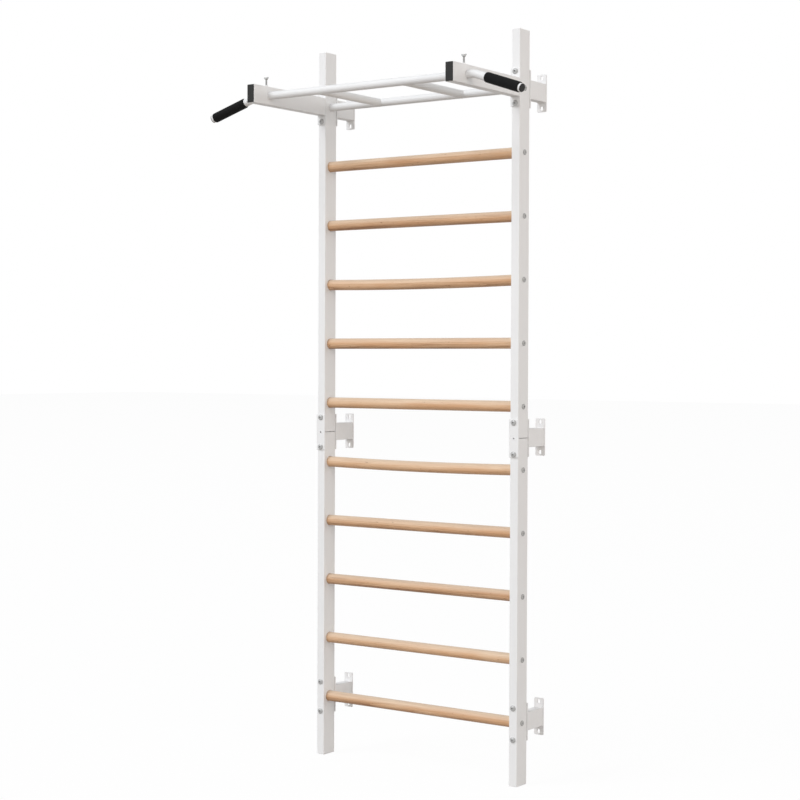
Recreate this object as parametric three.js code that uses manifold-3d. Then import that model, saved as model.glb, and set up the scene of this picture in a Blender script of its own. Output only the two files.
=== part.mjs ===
// Swedish wall bars: two steel uprights, each in two lengths, with round wooden rungs, wall brackets
// and a bolted pull-up frame whose bent outer handles are clamped by wing screws.
// Millimetres. X runs across the bars, +Y points into the wall and +Z up. The origin lies on the wall,
// at floor height, midway between the uprights. Left and right are as seen from the front.

import * as THREE from 'three';
import { mergeVertices } from 'three/addons/utils/BufferGeometryUtils.js';
import Module from 'manifold-3d';

const wasm = await Module();
wasm.setup();

// Rectangular steel tube of the uprights, the pull-up arms and the bracket boxes
const PROFILE_WIDTH = 25;
const PROFILE_DEPTH = 50;
const PROFILE_WALL = 1.5;
const PROFILE_CORNER = 1.5;

// Layout of the uprights and rungs
const POST_HEIGHT = 2025;
const POST_SPACING = 655;
const WALL_GAP = 86;
const FIRST_RUNG_HEIGHT = 168;
const RUNG_COUNT = 10;
const LOWER_RUNG_COUNT = 5;
const SEAM_GAP = 0.6;
const TOP_MOUNT_ABOVE_RUNG = 171;
const TOP_MOUNT_BELOW_TOP = 156;
const POST_PLUG_DEPTH = 14;
const POST_PLUG_WALL = 2;

// Wooden rungs and the screws that hold their ends
const RUNG_DIAMETER = 30;
const RUNG_CHAMFER = 1.5;
const RUNG_SCREW_DIAMETER = 6;

// Flat bar plates with their bolts and weld nuts
const PLATE_WIDTH = 30;
const PLATE_THICKNESS = 3;
const PLATE_CORNER = 2;
const PLATE_EDGE = 8.5;
const BOLT_FROM_PROFILE = 17.5;
const BOLT_DIAMETER = 8;
const BOLT_HEAD_RIM = 4;
const BOLT_HEAD_HEIGHT = 5;
const BOLT_SOCKET_WIDTH = 5;
const BOLT_SOCKET_DEPTH = 3;
const BOLT_PROTRUSION = 2;
const NUT_WALL = 2.5;
const NUT_HEIGHT = 6.5;
const SPLICE_HOLE_DIAMETER = 5;

// Slotted ears and the vent of a wall bracket
const EAR_CORNER = 4;
const SLOT_WIDTH = 8;
const SLOT_LENGTH = 12;
const SLOT_EDGE = 4;
const VENT_DIAMETER = 6;

// Pull-up frame of round tube between two arms
const TUBE_DIAMETER = 22;
const TUBE_WALL = 1.5;
const HANDLE_REACH = 250;
const ARM_NOSE = 68;
const NEUTRAL_SPACING = 280;
const TUBE_END_DISC = 12;
const CAP_FLANGE = 2;
const CAP_SIDE_INSET = 1.5;
const CAP_END_INSET = 0.5;
const CAP_CHAMFER = 0.8;
const CAP_STEM = 15;

// Bent outer handles with rubber grips, angles in degrees
const SHANK_LENGTH = 60;
const HANDLE_LEAD = 11;
const BEND_RADIUS = 60;
const BEND_ANGLE = 19.5;
const SWIVEL_ANGLE = 15;
const GRIP_GAP = 30;
const GRIP_LENGTH = 111;
const GRIP_THICKNESS = 2.2;
const GRIP_ROUND = 3;
const HANDLE_TAIL = 6;
const HANDLE_PLUG_FLANGE = 2;
const HANDLE_PLUG_STEM = 15;

// Wing screws that clamp the handles, and the nuts welded to the arms for them
const WING_SCREW_DIAMETER = 6;
const WING_STANDOFF = 15.5;
const WING_SPAN = 16;
const WING_HEIGHT = 7.5;
const WING_THICKNESS = 2.6;
const WING_TIP_RADIUS = 2.4;
const WING_HUB_RIM = 1.5;
const WING_NUT_WALL = 2;
const WING_NUT_HEIGHT = 5;

// Gap that seated pieces keep, and how far a cutter runs past the face it cuts
const FIT_GAP = 0.3;
const CUT_PAST = 1;

// Facets of round forms
const RUNG_FACETS = 18;
const TUBE_FACETS = 20;
const BOLT_FACETS = 8;
const NUT_FACETS = 6;
const CORNER_STEPS = 2;
const SLOT_END_STEPS = 6;
const DOME_STEPS = 3;
const BEND_STEPS = 4;

// Heights, depths and shared sizes that follow from the values above
const TOP_MOUNT_HEIGHT = POST_HEIGHT - TOP_MOUNT_BELOW_TOP;
const LAST_RUNG_HEIGHT = TOP_MOUNT_HEIGHT - TOP_MOUNT_ABOVE_RUNG;
const RUNG_PITCH = (LAST_RUNG_HEIGHT - FIRST_RUNG_HEIGHT) / (RUNG_COUNT - 1);
const RUNG_HEIGHTS = Array.from({ length: RUNG_COUNT }, (_, i) => FIRST_RUNG_HEIGHT + i * RUNG_PITCH);
const SEAM_HEIGHT = FIRST_RUNG_HEIGHT + (LOWER_RUNG_COUNT - 0.5) * RUNG_PITCH;
const POST_REAR = -WALL_GAP;
const POST_FRONT = POST_REAR - PROFILE_DEPTH;
const POST_MIDDLE = POST_REAR - PROFILE_DEPTH / 2;
const HANDLE_Y = POST_FRONT - HANDLE_REACH;
const ARM_TUBE_LENGTH = HANDLE_REACH + ARM_NOSE - PLATE_THICKNESS - CAP_FLANGE;
const ARM_FRONT = POST_FRONT - PLATE_THICKNESS - ARM_TUBE_LENGTH;
const BOLT_SPACING = PROFILE_DEPTH + 2 * BOLT_FROM_PROFILE;
const PLATE_LENGTH = BOLT_SPACING + 2 * PLATE_EDGE;
const NUT_WIDTH = BOLT_DIAMETER + 2 * NUT_WALL;
const WING_NUT_WIDTH = WING_SCREW_DIAMETER + 2 * WING_NUT_WALL;
const INNER_SPAN = POST_SPACING - PROFILE_WIDTH;
const INNER_WIDTH = PROFILE_WIDTH - 2 * PROFILE_WALL;
const INNER_DEPTH = PROFILE_DEPTH - 2 * PROFILE_WALL;
const INNER_CORNER = Math.max(PROFILE_CORNER - PROFILE_WALL, PROFILE_WALL / 4);
const TUBE_RADIUS = TUBE_DIAMETER / 2;
const TUBE_BORE = TUBE_RADIUS - TUBE_WALL;
const HANDLE_INSERT = PROFILE_WIDTH - PROFILE_WALL - FIT_GAP;
const SIDES = { left: -1, right: 1 };

// Finishes
const POWDER_WHITE = new THREE.MeshStandardMaterial({ color: 0xe6e6e4, roughness: 0.5, metalness: 0.1 });
const PALE_WOOD = new THREE.MeshStandardMaterial({ color: 0xd8b496, roughness: 0.55, metalness: 0 });
const ZINC = new THREE.MeshStandardMaterial({ color: 0x9a9a9a, roughness: 0.35, metalness: 0.9 });
const BLACK_PLASTIC = new THREE.MeshStandardMaterial({ color: 0x3a3a39, roughness: 0.6, metalness: 0 });
const WHITE_PLASTIC = new THREE.MeshStandardMaterial({ color: 0xe2e2e0, roughness: 0.6, metalness: 0 });
const RUBBER = new THREE.MeshStandardMaterial({ color: 0x1c1c1c, roughness: 0.85, metalness: 0 });

// A closed three.js geometry as a solid for joining and cutting
function solidOf(geometry) {
  const bare = geometry.clone();
  bare.deleteAttribute('normal');
  bare.deleteAttribute('uv');
  const merged = mergeVertices(bare, 1e-3);
  const corners = merged.index.array;
  const triangles = [];
  for (let i = 0; i < corners.length; i += 3) {
    const [a, b, c] = corners.slice(i, i + 3);
    if (a !== b && b !== c && c !== a) triangles.push(a, b, c);
  }
  const vertProperties = new Float32Array(merged.attributes.position.array);
  const triVerts = new Uint32Array(triangles);
  return new wasm.Manifold(new wasm.Mesh({ numProp: 3, vertProperties, triVerts }));
}

// Adds a finished solid to a group as a named piece, to be placed there
function addPiece(group, name, solid, material) {
  const { vertProperties, triVerts, numProp } = solid.getMesh();
  const geometry = new THREE.BufferGeometry();
  const points = new THREE.InterleavedBuffer(vertProperties, numProp);
  geometry.setAttribute('position', new THREE.InterleavedBufferAttribute(points, 3, 0));
  geometry.setIndex(new THREE.BufferAttribute(triVerts, 1));
  const mesh = new THREE.Mesh(geometry.toNonIndexed(), material);
  mesh.geometry.computeVertexNormals();
  mesh.name = name;
  group.add(mesh);
  return mesh;
}

// Rectangle outline with round corners, centred on the origin
function roundedRect(width, height, corner) {
  const x = width / 2 - corner;
  const y = height / 2 - corner;
  const outline = new THREE.Shape();
  outline.absarc(x, y, corner, 0, Math.PI / 2);
  outline.absarc(-x, y, corner, Math.PI / 2, Math.PI);
  outline.absarc(-x, -y, corner, Math.PI, 1.5 * Math.PI);
  outline.absarc(x, -y, corner, 1.5 * Math.PI, 2 * Math.PI);
  outline.closePath();
  return outline;
}

// Upright slot outline with half-round ends, centred on the origin
function slotOutline(width, length) {
  const radius = width / 2;
  const straight = (length - width) / 2;
  const outline = new THREE.Shape();
  outline.absarc(0, straight, radius, 0, Math.PI);
  outline.absarc(0, -straight, radius, Math.PI, 2 * Math.PI);
  outline.closePath();
  return outline;
}

// Outline of a round tube
function ring(radius, bore) {
  const outline = new THREE.Shape();
  outline.absarc(0, 0, radius, 0, 2 * Math.PI);
  const hole = new THREE.Path();
  hole.absarc(0, 0, bore, 0, 2 * Math.PI);
  outline.holes.push(hole);
  return outline;
}

// Straight extrusion of an outline up Z from the origin, each of its arcs in so many steps
function prism(outline, length, arcSteps) {
  const settings = { depth: length, bevelEnabled: false, curveSegments: arcSteps / 2 };
  return new THREE.ExtrudeGeometry(outline, settings);
}

// Length of the rectangular tube, up Z from the origin, its width along X
function profileTube(length) {
  const outline = roundedRect(PROFILE_WIDTH, PROFILE_DEPTH, PROFILE_CORNER);
  outline.holes.push(roundedRect(INNER_WIDTH, INNER_DEPTH, INNER_CORNER));
  return prism(outline, length, CORNER_STEPS);
}

// Length of the round tube, up Z from the origin
function roundTube(length) {
  return prism(ring(TUBE_RADIUS, TUBE_BORE), length, TUBE_FACETS);
}

// Round bars along each axis, centred where they are asked for
function rod(radius, length, facets) {
  return new THREE.CylinderGeometry(radius, radius, length, facets);
}

function rodX(radius, length, facets, x, y, z) {
  return solidOf(rod(radius, length, facets).rotateZ(Math.PI / 2).translate(x, y, z));
}

function rodY(radius, length, facets, x, y, z) {
  return solidOf(rod(radius, length, facets).translate(x, y, z));
}

function rodZ(radius, length, facets, x, y, z) {
  return solidOf(rod(radius, length, facets).rotateX(Math.PI / 2).translate(x, y, z));
}

// Radius over the corners of a hexagon so wide across its flats
function hexRadius(width) {
  return width / 2 / Math.cos(Math.PI / NUT_FACETS);
}

// Hexagon prism along Y, its front face at y
function hexNut(width, height, y, z) {
  return rodY(hexRadius(width), height, NUT_FACETS, 0, y + height / 2, z);
}

// Flat bar plate standing in the XZ plane, its back face at y
function plate(y, corner) {
  const blank = prism(roundedRect(PLATE_WIDTH, PLATE_LENGTH, corner), PLATE_THICKNESS, CORNER_STEPS);
  return solidOf(blank.rotateX(Math.PI / 2).translate(0, y, 0));
}

// Heights of the two bolts of a plate above and below its middle
const BOLT_LEVELS = { upper: BOLT_SPACING / 2, lower: -BOLT_SPACING / 2 };

// Cuts the two bolt holes of a plate whose middle is at z, all the way along Y
function cutBoltHoles(solid, z) {
  const radius = BOLT_DIAMETER / 2 + FIT_GAP;
  const reach = 2 * (WALL_GAP + PROFILE_DEPTH + CUT_PAST);
  const hole = (level) => rodY(radius, reach, BOLT_FACETS, 0, 0, z + level);
  return Object.values(BOLT_LEVELS).reduce((rest, level) => rest.subtract(hole(level)), solid);
}

// Length of upright from its own foot, with holes for the rungs, the rung screws and the bolts
function post(side, bottom, top, mounts) {
  const half = PROFILE_WIDTH / 2 + CUT_PAST;
  const inside = -side * half / 2;
  const holds = (height) => height > bottom && height < top;
  const screwHole = RUNG_SCREW_DIAMETER / 2 + FIT_GAP;
  const rungHole = RUNG_DIAMETER / 2 + FIT_GAP;
  let solid = solidOf(profileTube(top - bottom));
  for (const height of RUNG_HEIGHTS.filter(holds)) {
    solid = solid.subtract(rodX(rungHole, half, RUNG_FACETS, inside, 0, height - bottom));
    solid = solid.subtract(rodX(screwHole, half, BOLT_FACETS, -inside, 0, height - bottom));
  }
  if (holds(TOP_MOUNT_HEIGHT)) {
    solid = solid.subtract(rodX(screwHole, 2 * half, BOLT_FACETS, 0, 0, TOP_MOUNT_HEIGHT - bottom));
  }
  return mounts.reduce((rest, height) => cutBoltHoles(rest, height - bottom), solid);
}

// Moulded cup that closes an upright's end, its closed face at the origin and its skirt up Z
function postPlug() {
  const width = INNER_WIDTH - 2 * FIT_GAP;
  const depth = INNER_DEPTH - 2 * FIT_GAP;
  const skirt = 2 * POST_PLUG_WALL;
  const outer = prism(roundedRect(width, depth, INNER_CORNER), POST_PLUG_DEPTH, CORNER_STEPS);
  const pocketOutline = roundedRect(width - skirt, depth - skirt, INNER_CORNER);
  const pocket = prism(pocketOutline, POST_PLUG_DEPTH, CORNER_STEPS).translate(0, 0, POST_PLUG_WALL);
  return solidOf(outer).subtract(solidOf(pocket));
}

// Turned wooden bar with chamfered ends that reach into both uprights
function rung() {
  const half = (POST_SPACING + INNER_WIDTH) / 2 - FIT_GAP;
  const radius = RUNG_DIAMETER / 2;
  const profile = [
    new THREE.Vector2(0, -half),
    new THREE.Vector2(radius - RUNG_CHAMFER, -half),
    new THREE.Vector2(radius, -half + RUNG_CHAMFER),
    new THREE.Vector2(radius, half - RUNG_CHAMFER),
    new THREE.Vector2(radius - RUNG_CHAMFER, half),
    new THREE.Vector2(0, half),
  ];
  return solidOf(new THREE.LatheGeometry(profile, RUNG_FACETS).rotateZ(Math.PI / 2));
}

// Welded wall bracket, its back on the wall: post plate with weld nuts, box tube and slotted wall plate
function wallBracket() {
  const postPlateBack = POST_REAR + PLATE_THICKNESS;
  const box = profileTube(WALL_GAP - 2 * PLATE_THICKNESS).rotateX(Math.PI / 2);
  const withNuts = Object.values(BOLT_LEVELS).reduce(
    (rest, level) => rest.add(hexNut(NUT_WIDTH, NUT_HEIGHT, postPlateBack, level)),
    plate(postPlateBack, PLATE_CORNER),
  );
  const vent = rodY(VENT_DIAMETER / 2, 2 * (PLATE_THICKNESS + CUT_PAST), BOLT_FACETS, 0, POST_REAR, 0);
  const postPlate = cutBoltHoles(withNuts, 0).subtract(vent);
  const slotLevel = PLATE_LENGTH / 2 - SLOT_EDGE - SLOT_LENGTH / 2;
  const slot = prism(slotOutline(SLOT_WIDTH, SLOT_LENGTH), PLATE_THICKNESS + 2 * CUT_PAST, SLOT_END_STEPS);
  const cutter = solidOf(slot.rotateX(Math.PI / 2).translate(0, CUT_PAST, 0));
  const wallPlate = [slotLevel, -slotLevel].reduce(
    (rest, level) => rest.subtract(cutter.translate([0, 0, level])),
    plate(0, EAR_CORNER),
  );
  return postPlate.add(solidOf(box.translate(0, -PLATE_THICKNESS, 0))).add(wallPlate);
}

// Plate over the seam, its back on the upright, with a small centre hole
function splicePlate() {
  const centreHole = rodY(SPLICE_HOLE_DIAMETER / 2, 2 * (PLATE_THICKNESS + CUT_PAST), BOLT_FACETS, 0, 0, 0);
  return cutBoltHoles(plate(0, PLATE_CORNER), 0).subtract(centreHole);
}

// Domed socket bolt along Y, the underside of its head at the origin and its shank towards the wall
function domedBolt(length) {
  const radius = BOLT_DIAMETER / 2;
  const headRadius = radius + BOLT_HEAD_RIM;
  const ball = (headRadius ** 2 + BOLT_HEAD_HEIGHT ** 2) / (2 * BOLT_HEAD_HEIGHT);
  const edge = Math.atan2(headRadius, ball - BOLT_HEAD_HEIGHT);
  const profile = [];
  for (let i = 0; i <= DOME_STEPS; i++) {
    const turn = edge * i / DOME_STEPS;
    profile.push(new THREE.Vector2(ball * Math.sin(turn), ball - BOLT_HEAD_HEIGHT - ball * Math.cos(turn)));
  }
  profile.push(new THREE.Vector2(radius, 0));
  profile.push(new THREE.Vector2(radius, length));
  profile.push(new THREE.Vector2(0, length));
  const socket = hexNut(BOLT_SOCKET_WIDTH, BOLT_SOCKET_DEPTH + CUT_PAST, -BOLT_HEAD_HEIGHT - CUT_PAST, 0);
  return solidOf(new THREE.LatheGeometry(profile, BOLT_FACETS)).subtract(socket);
}

// Pull-up arm, its back on the upright: tube welded to a mount plate, with a nut for the wing screw
// and holes for the handle
function pullUpArm(side) {
  const half = PROFILE_WIDTH / 2 + CUT_PAST;
  const top = PROFILE_DEPTH / 2;
  const nutRadius = hexRadius(WING_NUT_WIDTH);
  const screwRadius = WING_SCREW_DIAMETER / 2 + FIT_GAP;
  const tube = profileTube(ARM_TUBE_LENGTH).rotateX(Math.PI / 2).translate(0, -PLATE_THICKNESS, 0);
  const mount = cutBoltHoles(plate(0, PLATE_CORNER), 0);
  const nut = rodZ(nutRadius, WING_NUT_HEIGHT, NUT_FACETS, 0, -HANDLE_REACH, top + WING_NUT_HEIGHT / 2);
  const screwHole = rodZ(screwRadius, PROFILE_DEPTH, BOLT_FACETS, 0, -HANDLE_REACH, top);
  const handleHole = rodX(TUBE_RADIUS + FIT_GAP, half, TUBE_FACETS, side * half / 2, -HANDLE_REACH, 0);
  const shankHole = rodX(TUBE_BORE, half, TUBE_FACETS, -side * half / 2, -HANDLE_REACH, 0);
  return solidOf(tube).add(mount).add(nut).subtract(screwHole).subtract(handleHole).subtract(shankHole);
}

// Plug in an arm's front end: a chamfered flange in front of the origin and a stem behind it
function armCap() {
  const faceWidth = PROFILE_WIDTH - 2 * (CAP_SIDE_INSET + CAP_CHAMFER);
  const faceDepth = PROFILE_DEPTH - 2 * (CAP_END_INSET + CAP_CHAMFER);
  const faceOutline = roundedRect(faceWidth, faceDepth, PROFILE_CORNER - CAP_CHAMFER);
  const flange = new THREE.ExtrudeGeometry(faceOutline, {
    depth: CAP_FLANGE - CAP_CHAMFER,
    bevelThickness: CAP_CHAMFER,
    bevelSize: CAP_CHAMFER,
    bevelSegments: 1,
    curveSegments: CORNER_STEPS / 2,
  });
  const rear = new THREE.BoxGeometry(PROFILE_WIDTH, PROFILE_DEPTH, PROFILE_DEPTH);
  const stemOutline = roundedRect(INNER_WIDTH - 2 * FIT_GAP, INNER_DEPTH - 2 * FIT_GAP, INNER_CORNER);
  const stem = prism(stemOutline, CAP_STEM, CORNER_STEPS).translate(0, 0, -CAP_STEM);
  const front = solidOf(flange).subtract(solidOf(rear.translate(0, 0, -PROFILE_DEPTH / 2)));
  return front.add(solidOf(stem)).rotate([90, 0, 0]);
}

// Front cross tube, open at both ends where the handles' shanks plug in
function frontCrossTube() {
  return solidOf(roundTube(INNER_SPAN).rotateY(Math.PI / 2).translate(-INNER_SPAN / 2, 0, 0));
}

// Rear cross tube between the uprights, with tapped discs welded into its ends
function rearCrossTube() {
  const half = INNER_SPAN / 2;
  const tapped = RUNG_SCREW_DIAMETER / 2;
  const profile = [
    new THREE.Vector2(tapped, -half),
    new THREE.Vector2(TUBE_RADIUS, -half),
    new THREE.Vector2(TUBE_RADIUS, half),
    new THREE.Vector2(tapped, half),
    new THREE.Vector2(tapped, half - TUBE_END_DISC),
    new THREE.Vector2(TUBE_BORE, half - TUBE_END_DISC),
    new THREE.Vector2(TUBE_BORE, -half + TUBE_END_DISC),
    new THREE.Vector2(tapped, -half + TUBE_END_DISC),
    new THREE.Vector2(tapped, -half),
  ];
  return solidOf(new THREE.LatheGeometry(profile, TUBE_FACETS).rotateZ(Math.PI / 2));
}

// Neutral grip tube from the rear cross tube forwards, its ends cut to saddle both cross tubes
function neutralTube() {
  const length = POST_MIDDLE - HANDLE_Y;
  const saddle = (y) => rodX(TUBE_RADIUS + FIT_GAP, 2 * TUBE_DIAMETER, TUBE_FACETS, 0, y, 0);
  return solidOf(roundTube(length).rotateX(Math.PI / 2)).subtract(saddle(0)).subtract(saddle(-length));
}

// Path of a bent tube: straight along X, an arc that drops towards -Z, then straight to its end.
// Equal steps of its parameter pass the lead, each step of the arc and the tail.
class BentPath extends THREE.Curve {
  constructor(lead, radius, angle, tail) {
    super();
    this.lead = lead;
    this.radius = radius;
    this.angle = angle;
    this.tail = tail;
  }

  // How far the path has gone along its lead, round its arc and along its tail
  progress(t) {
    const step = t * (BEND_STEPS + 2);
    const lead = this.lead * Math.min(step, 1);
    const turn = this.angle * THREE.MathUtils.clamp((step - 1) / BEND_STEPS, 0, 1);
    const tail = this.tail * Math.max(step - 1 - BEND_STEPS, 0);
    return { lead, turn, tail };
  }

  getPoint(t, target = new THREE.Vector3()) {
    const { lead, turn, tail } = this.progress(t);
    const x = lead + this.radius * Math.sin(turn) + tail * Math.cos(turn);
    const z = this.radius * (Math.cos(turn) - 1) - tail * Math.sin(turn);
    return target.set(x, 0, z);
  }

  getPointAt(u, target) {
    return this.getPoint(u, target);
  }

  getTangentAt(u, target = new THREE.Vector3()) {
    const { turn } = this.progress(u);
    return target.set(Math.cos(turn), 0, -Math.sin(turn));
  }
}

const HANDLE_PATH = new BentPath(
  HANDLE_INSERT + HANDLE_LEAD,
  BEND_RADIUS,
  THREE.MathUtils.degToRad(BEND_ANGLE),
  GRIP_GAP + GRIP_LENGTH + HANDLE_TAIL,
);

// Bent handle along its path, with a shoulder and the necked shank that enters the front cross tube
function outerHandle() {
  const tube = new THREE.ExtrudeGeometry(ring(TUBE_RADIUS, TUBE_BORE), {
    steps: BEND_STEPS + 2,
    extrudePath: HANDLE_PATH,
    bevelEnabled: false,
    curveSegments: TUBE_FACETS / 2,
  });
  const neck = TUBE_BORE - FIT_GAP;
  const bore = neck - TUBE_WALL;
  const profile = [
    new THREE.Vector2(bore, -SHANK_LENGTH),
    new THREE.Vector2(neck, -SHANK_LENGTH),
    new THREE.Vector2(neck, 0),
    new THREE.Vector2(TUBE_RADIUS, 0),
    new THREE.Vector2(TUBE_RADIUS, TUBE_WALL),
    new THREE.Vector2(bore, TUBE_WALL),
    new THREE.Vector2(bore, -SHANK_LENGTH),
  ];
  const shank = new THREE.LatheGeometry(profile, TUBE_FACETS).rotateZ(-Math.PI / 2);
  return solidOf(tube).add(solidOf(shank));
}

// Rubber sleeve up Y from its inner end, with eased ends
function handleGrip() {
  const bore = TUBE_RADIUS + FIT_GAP;
  const radius = bore + GRIP_THICKNESS;
  const eased = bore + GRIP_THICKNESS / 2;
  const profile = [
    new THREE.Vector2(bore, 0),
    new THREE.Vector2(eased, 0),
    new THREE.Vector2(radius, GRIP_ROUND),
    new THREE.Vector2(radius, GRIP_LENGTH - GRIP_ROUND),
    new THREE.Vector2(eased, GRIP_LENGTH),
    new THREE.Vector2(bore, GRIP_LENGTH),
    new THREE.Vector2(bore, 0),
  ];
  return solidOf(new THREE.LatheGeometry(profile, TUBE_FACETS));
}

// Plug in a handle's outer end, up Y, its flange against the tube's end at the origin
function handlePlug() {
  const stem = TUBE_BORE - FIT_GAP;
  const profile = [
    new THREE.Vector2(0, -HANDLE_PLUG_STEM),
    new THREE.Vector2(stem, -HANDLE_PLUG_STEM),
    new THREE.Vector2(stem, 0),
    new THREE.Vector2(TUBE_RADIUS, 0),
    new THREE.Vector2(TUBE_RADIUS, HANDLE_PLUG_FLANGE / 2),
    new THREE.Vector2(TUBE_RADIUS - HANDLE_PLUG_FLANGE / 2, HANDLE_PLUG_FLANGE),
    new THREE.Vector2(0, HANDLE_PLUG_FLANGE),
  ];
  return solidOf(new THREE.LatheGeometry(profile, TUBE_FACETS));
}

// Wing screw up Z from its tip: plain shank, round hub and two raised ears along X
function wingScrew() {
  const radius = WING_SCREW_DIAMETER / 2;
  const gripped = PROFILE_DEPTH / 2 - TUBE_RADIUS - FIT_GAP;
  const shankLength = gripped + WING_NUT_HEIGHT + WING_STANDOFF;
  const shank = rodZ(radius, shankLength, BOLT_FACETS, 0, 0, shankLength / 2);
  const hubHeight = WING_HEIGHT / 2;
  const hub = rodZ(radius + WING_HUB_RIM, hubHeight, BOLT_FACETS, 0, 0, shankLength + hubHeight / 2);
  const tipX = WING_SPAN / 2 - WING_TIP_RADIUS;
  const tipY = WING_HEIGHT - WING_TIP_RADIUS;
  const [tipStart, tipEnd] = [-0.2 * Math.PI, 0.8 * Math.PI];
  const startX = tipX + WING_TIP_RADIUS * Math.cos(tipStart);
  const startY = tipY + WING_TIP_RADIUS * Math.sin(tipStart);
  const outline = new THREE.Shape();
  outline.moveTo(0, 0);
  outline.quadraticCurveTo(tipX * 0.7, 0, startX, startY);
  outline.absarc(tipX, tipY, WING_TIP_RADIUS, tipStart, tipEnd);
  outline.quadraticCurveTo(tipX * 0.5, hubHeight, 0, hubHeight);
  outline.closePath();
  const flat = prism(outline, WING_THICKNESS, SLOT_END_STEPS).translate(0, 0, -WING_THICKNESS / 2);
  const ear = solidOf(flat.rotateX(Math.PI / 2)).translate([0, 0, shankLength]);
  return shank.add(hub).add(ear).add(ear.rotate([0, 0, 180]));
}

// Uprights with their plugs, splice plate, brackets and bolts, in a group on the upright's middle plane
function addUpright(group, sideName, side) {
  const mounts = { foot: FIRST_RUNG_HEIGHT, middle: SEAM_HEIGHT, top: TOP_MOUNT_HEIGHT };
  const frontPlates = { foot: 0, middle: PLATE_THICKNESS, top: PLATE_THICKNESS };
  const lower = post(side, 0, SEAM_HEIGHT - SEAM_GAP / 2, [mounts.foot, mounts.middle]);
  const upperFoot = SEAM_HEIGHT + SEAM_GAP / 2;
  const upper = post(side, upperFoot, POST_HEIGHT, [mounts.middle, mounts.top]);
  addPiece(group, `${sideName}_lower_post`, lower, POWDER_WHITE).position.set(0, POST_MIDDLE, 0);
  addPiece(group, `${sideName}_upper_post`, upper, POWDER_WHITE).position.set(0, POST_MIDDLE, upperFoot);
  addPiece(group, `${sideName}_post_foot_plug`, postPlug(), WHITE_PLASTIC).position.set(0, POST_MIDDLE, 0);
  const topPlug = addPiece(group, `${sideName}_post_top_plug`, postPlug(), WHITE_PLASTIC);
  topPlug.position.set(0, POST_MIDDLE, POST_HEIGHT);
  topPlug.rotation.x = Math.PI;
  const splice = addPiece(group, `${sideName}_splice_plate`, splicePlate(), POWDER_WHITE);
  splice.position.set(0, POST_FRONT, SEAM_HEIGHT);
  for (const [place, height] of Object.entries(mounts)) {
    addPiece(group, `${sideName}_${place}_wall_bracket`, wallBracket(), POWDER_WHITE).position.z = height;
    const headSeat = POST_FRONT - frontPlates[place];
    const bolt = domedBolt(POST_REAR + PLATE_THICKNESS + NUT_HEIGHT + BOLT_PROTRUSION - headSeat);
    for (const [levelName, level] of Object.entries(BOLT_LEVELS)) {
      const mesh = addPiece(group, `${sideName}_${place}_${levelName}_bolt`, bolt, ZINC);
      mesh.position.set(0, headSeat, height + level);
    }
  }
}

// Bent handle with its grip and plug, in a group at the handle's shoulder, turned to its side
function addHandle(group, sideName, side) {
  const handle = new THREE.Group();
  handle.position.set(side * (PROFILE_WIDTH / 2 - HANDLE_INSERT), HANDLE_Y, TOP_MOUNT_HEIGHT);
  handle.rotation.x = -THREE.MathUtils.degToRad(SWIVEL_ANGLE);
  handle.rotation.z = side > 0 ? 0 : Math.PI;
  group.add(handle);
  const end = HANDLE_PATH.getPoint(1);
  const along = HANDLE_PATH.getTangentAt(1);
  const turn = new THREE.Quaternion().setFromUnitVectors(new THREE.Vector3(0, 1, 0), along);
  addPiece(handle, `${sideName}_outer_handle`, outerHandle(), POWDER_WHITE);
  const grip = addPiece(handle, `${sideName}_handle_grip`, handleGrip(), RUBBER);
  grip.position.copy(end).addScaledVector(along, -GRIP_LENGTH - HANDLE_TAIL);
  grip.quaternion.copy(turn);
  const plug = addPiece(handle, `${sideName}_handle_end_plug`, handlePlug(), BLACK_PLASTIC);
  plug.position.copy(end);
  plug.quaternion.copy(turn);
}

const wallBars = new THREE.Group();

for (const [sideName, side] of Object.entries(SIDES)) {
  const group = new THREE.Group();
  group.position.x = side * POST_SPACING / 2;
  wallBars.add(group);
  addUpright(group, sideName, side);
  const arm = addPiece(group, `${sideName}_pull_up_arm`, pullUpArm(side), POWDER_WHITE);
  arm.position.set(0, POST_FRONT, TOP_MOUNT_HEIGHT);
  const cap = addPiece(group, `${sideName}_arm_end_cap`, armCap(), BLACK_PLASTIC);
  cap.position.set(0, ARM_FRONT, TOP_MOUNT_HEIGHT);
  addHandle(group, sideName, side);
  const screw = addPiece(group, `${sideName}_wing_screw`, wingScrew(), ZINC);
  screw.position.set(0, HANDLE_Y, TOP_MOUNT_HEIGHT + TUBE_RADIUS + FIT_GAP);
  const neutral = addPiece(wallBars, `${sideName}_neutral_grip_tube`, neutralTube(), POWDER_WHITE);
  neutral.position.set(side * NEUTRAL_SPACING / 2, POST_MIDDLE, TOP_MOUNT_HEIGHT);
}

const frontTube = addPiece(wallBars, 'front_cross_tube', frontCrossTube(), POWDER_WHITE);
frontTube.position.set(0, HANDLE_Y, TOP_MOUNT_HEIGHT);
const rearTube = addPiece(wallBars, 'rear_cross_tube', rearCrossTube(), POWDER_WHITE);
rearTube.position.set(0, POST_MIDDLE, TOP_MOUNT_HEIGHT);

for (const [i, height] of RUNG_HEIGHTS.entries()) {
  const name = `rung_${String(i + 1).padStart(2, '0')}`;
  addPiece(wallBars, name, rung(), PALE_WOOD).position.set(0, POST_MIDDLE, height);
}

export default wallBars;
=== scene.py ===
"""Swedish wall bars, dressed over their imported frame.

Steel uprights, wall brackets and a pull-up frame in white powder coat, turned wooden rungs, zinc
fasteners and black rubber grips. Metres, with +Y into the wall and +Z up.
"""

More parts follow.
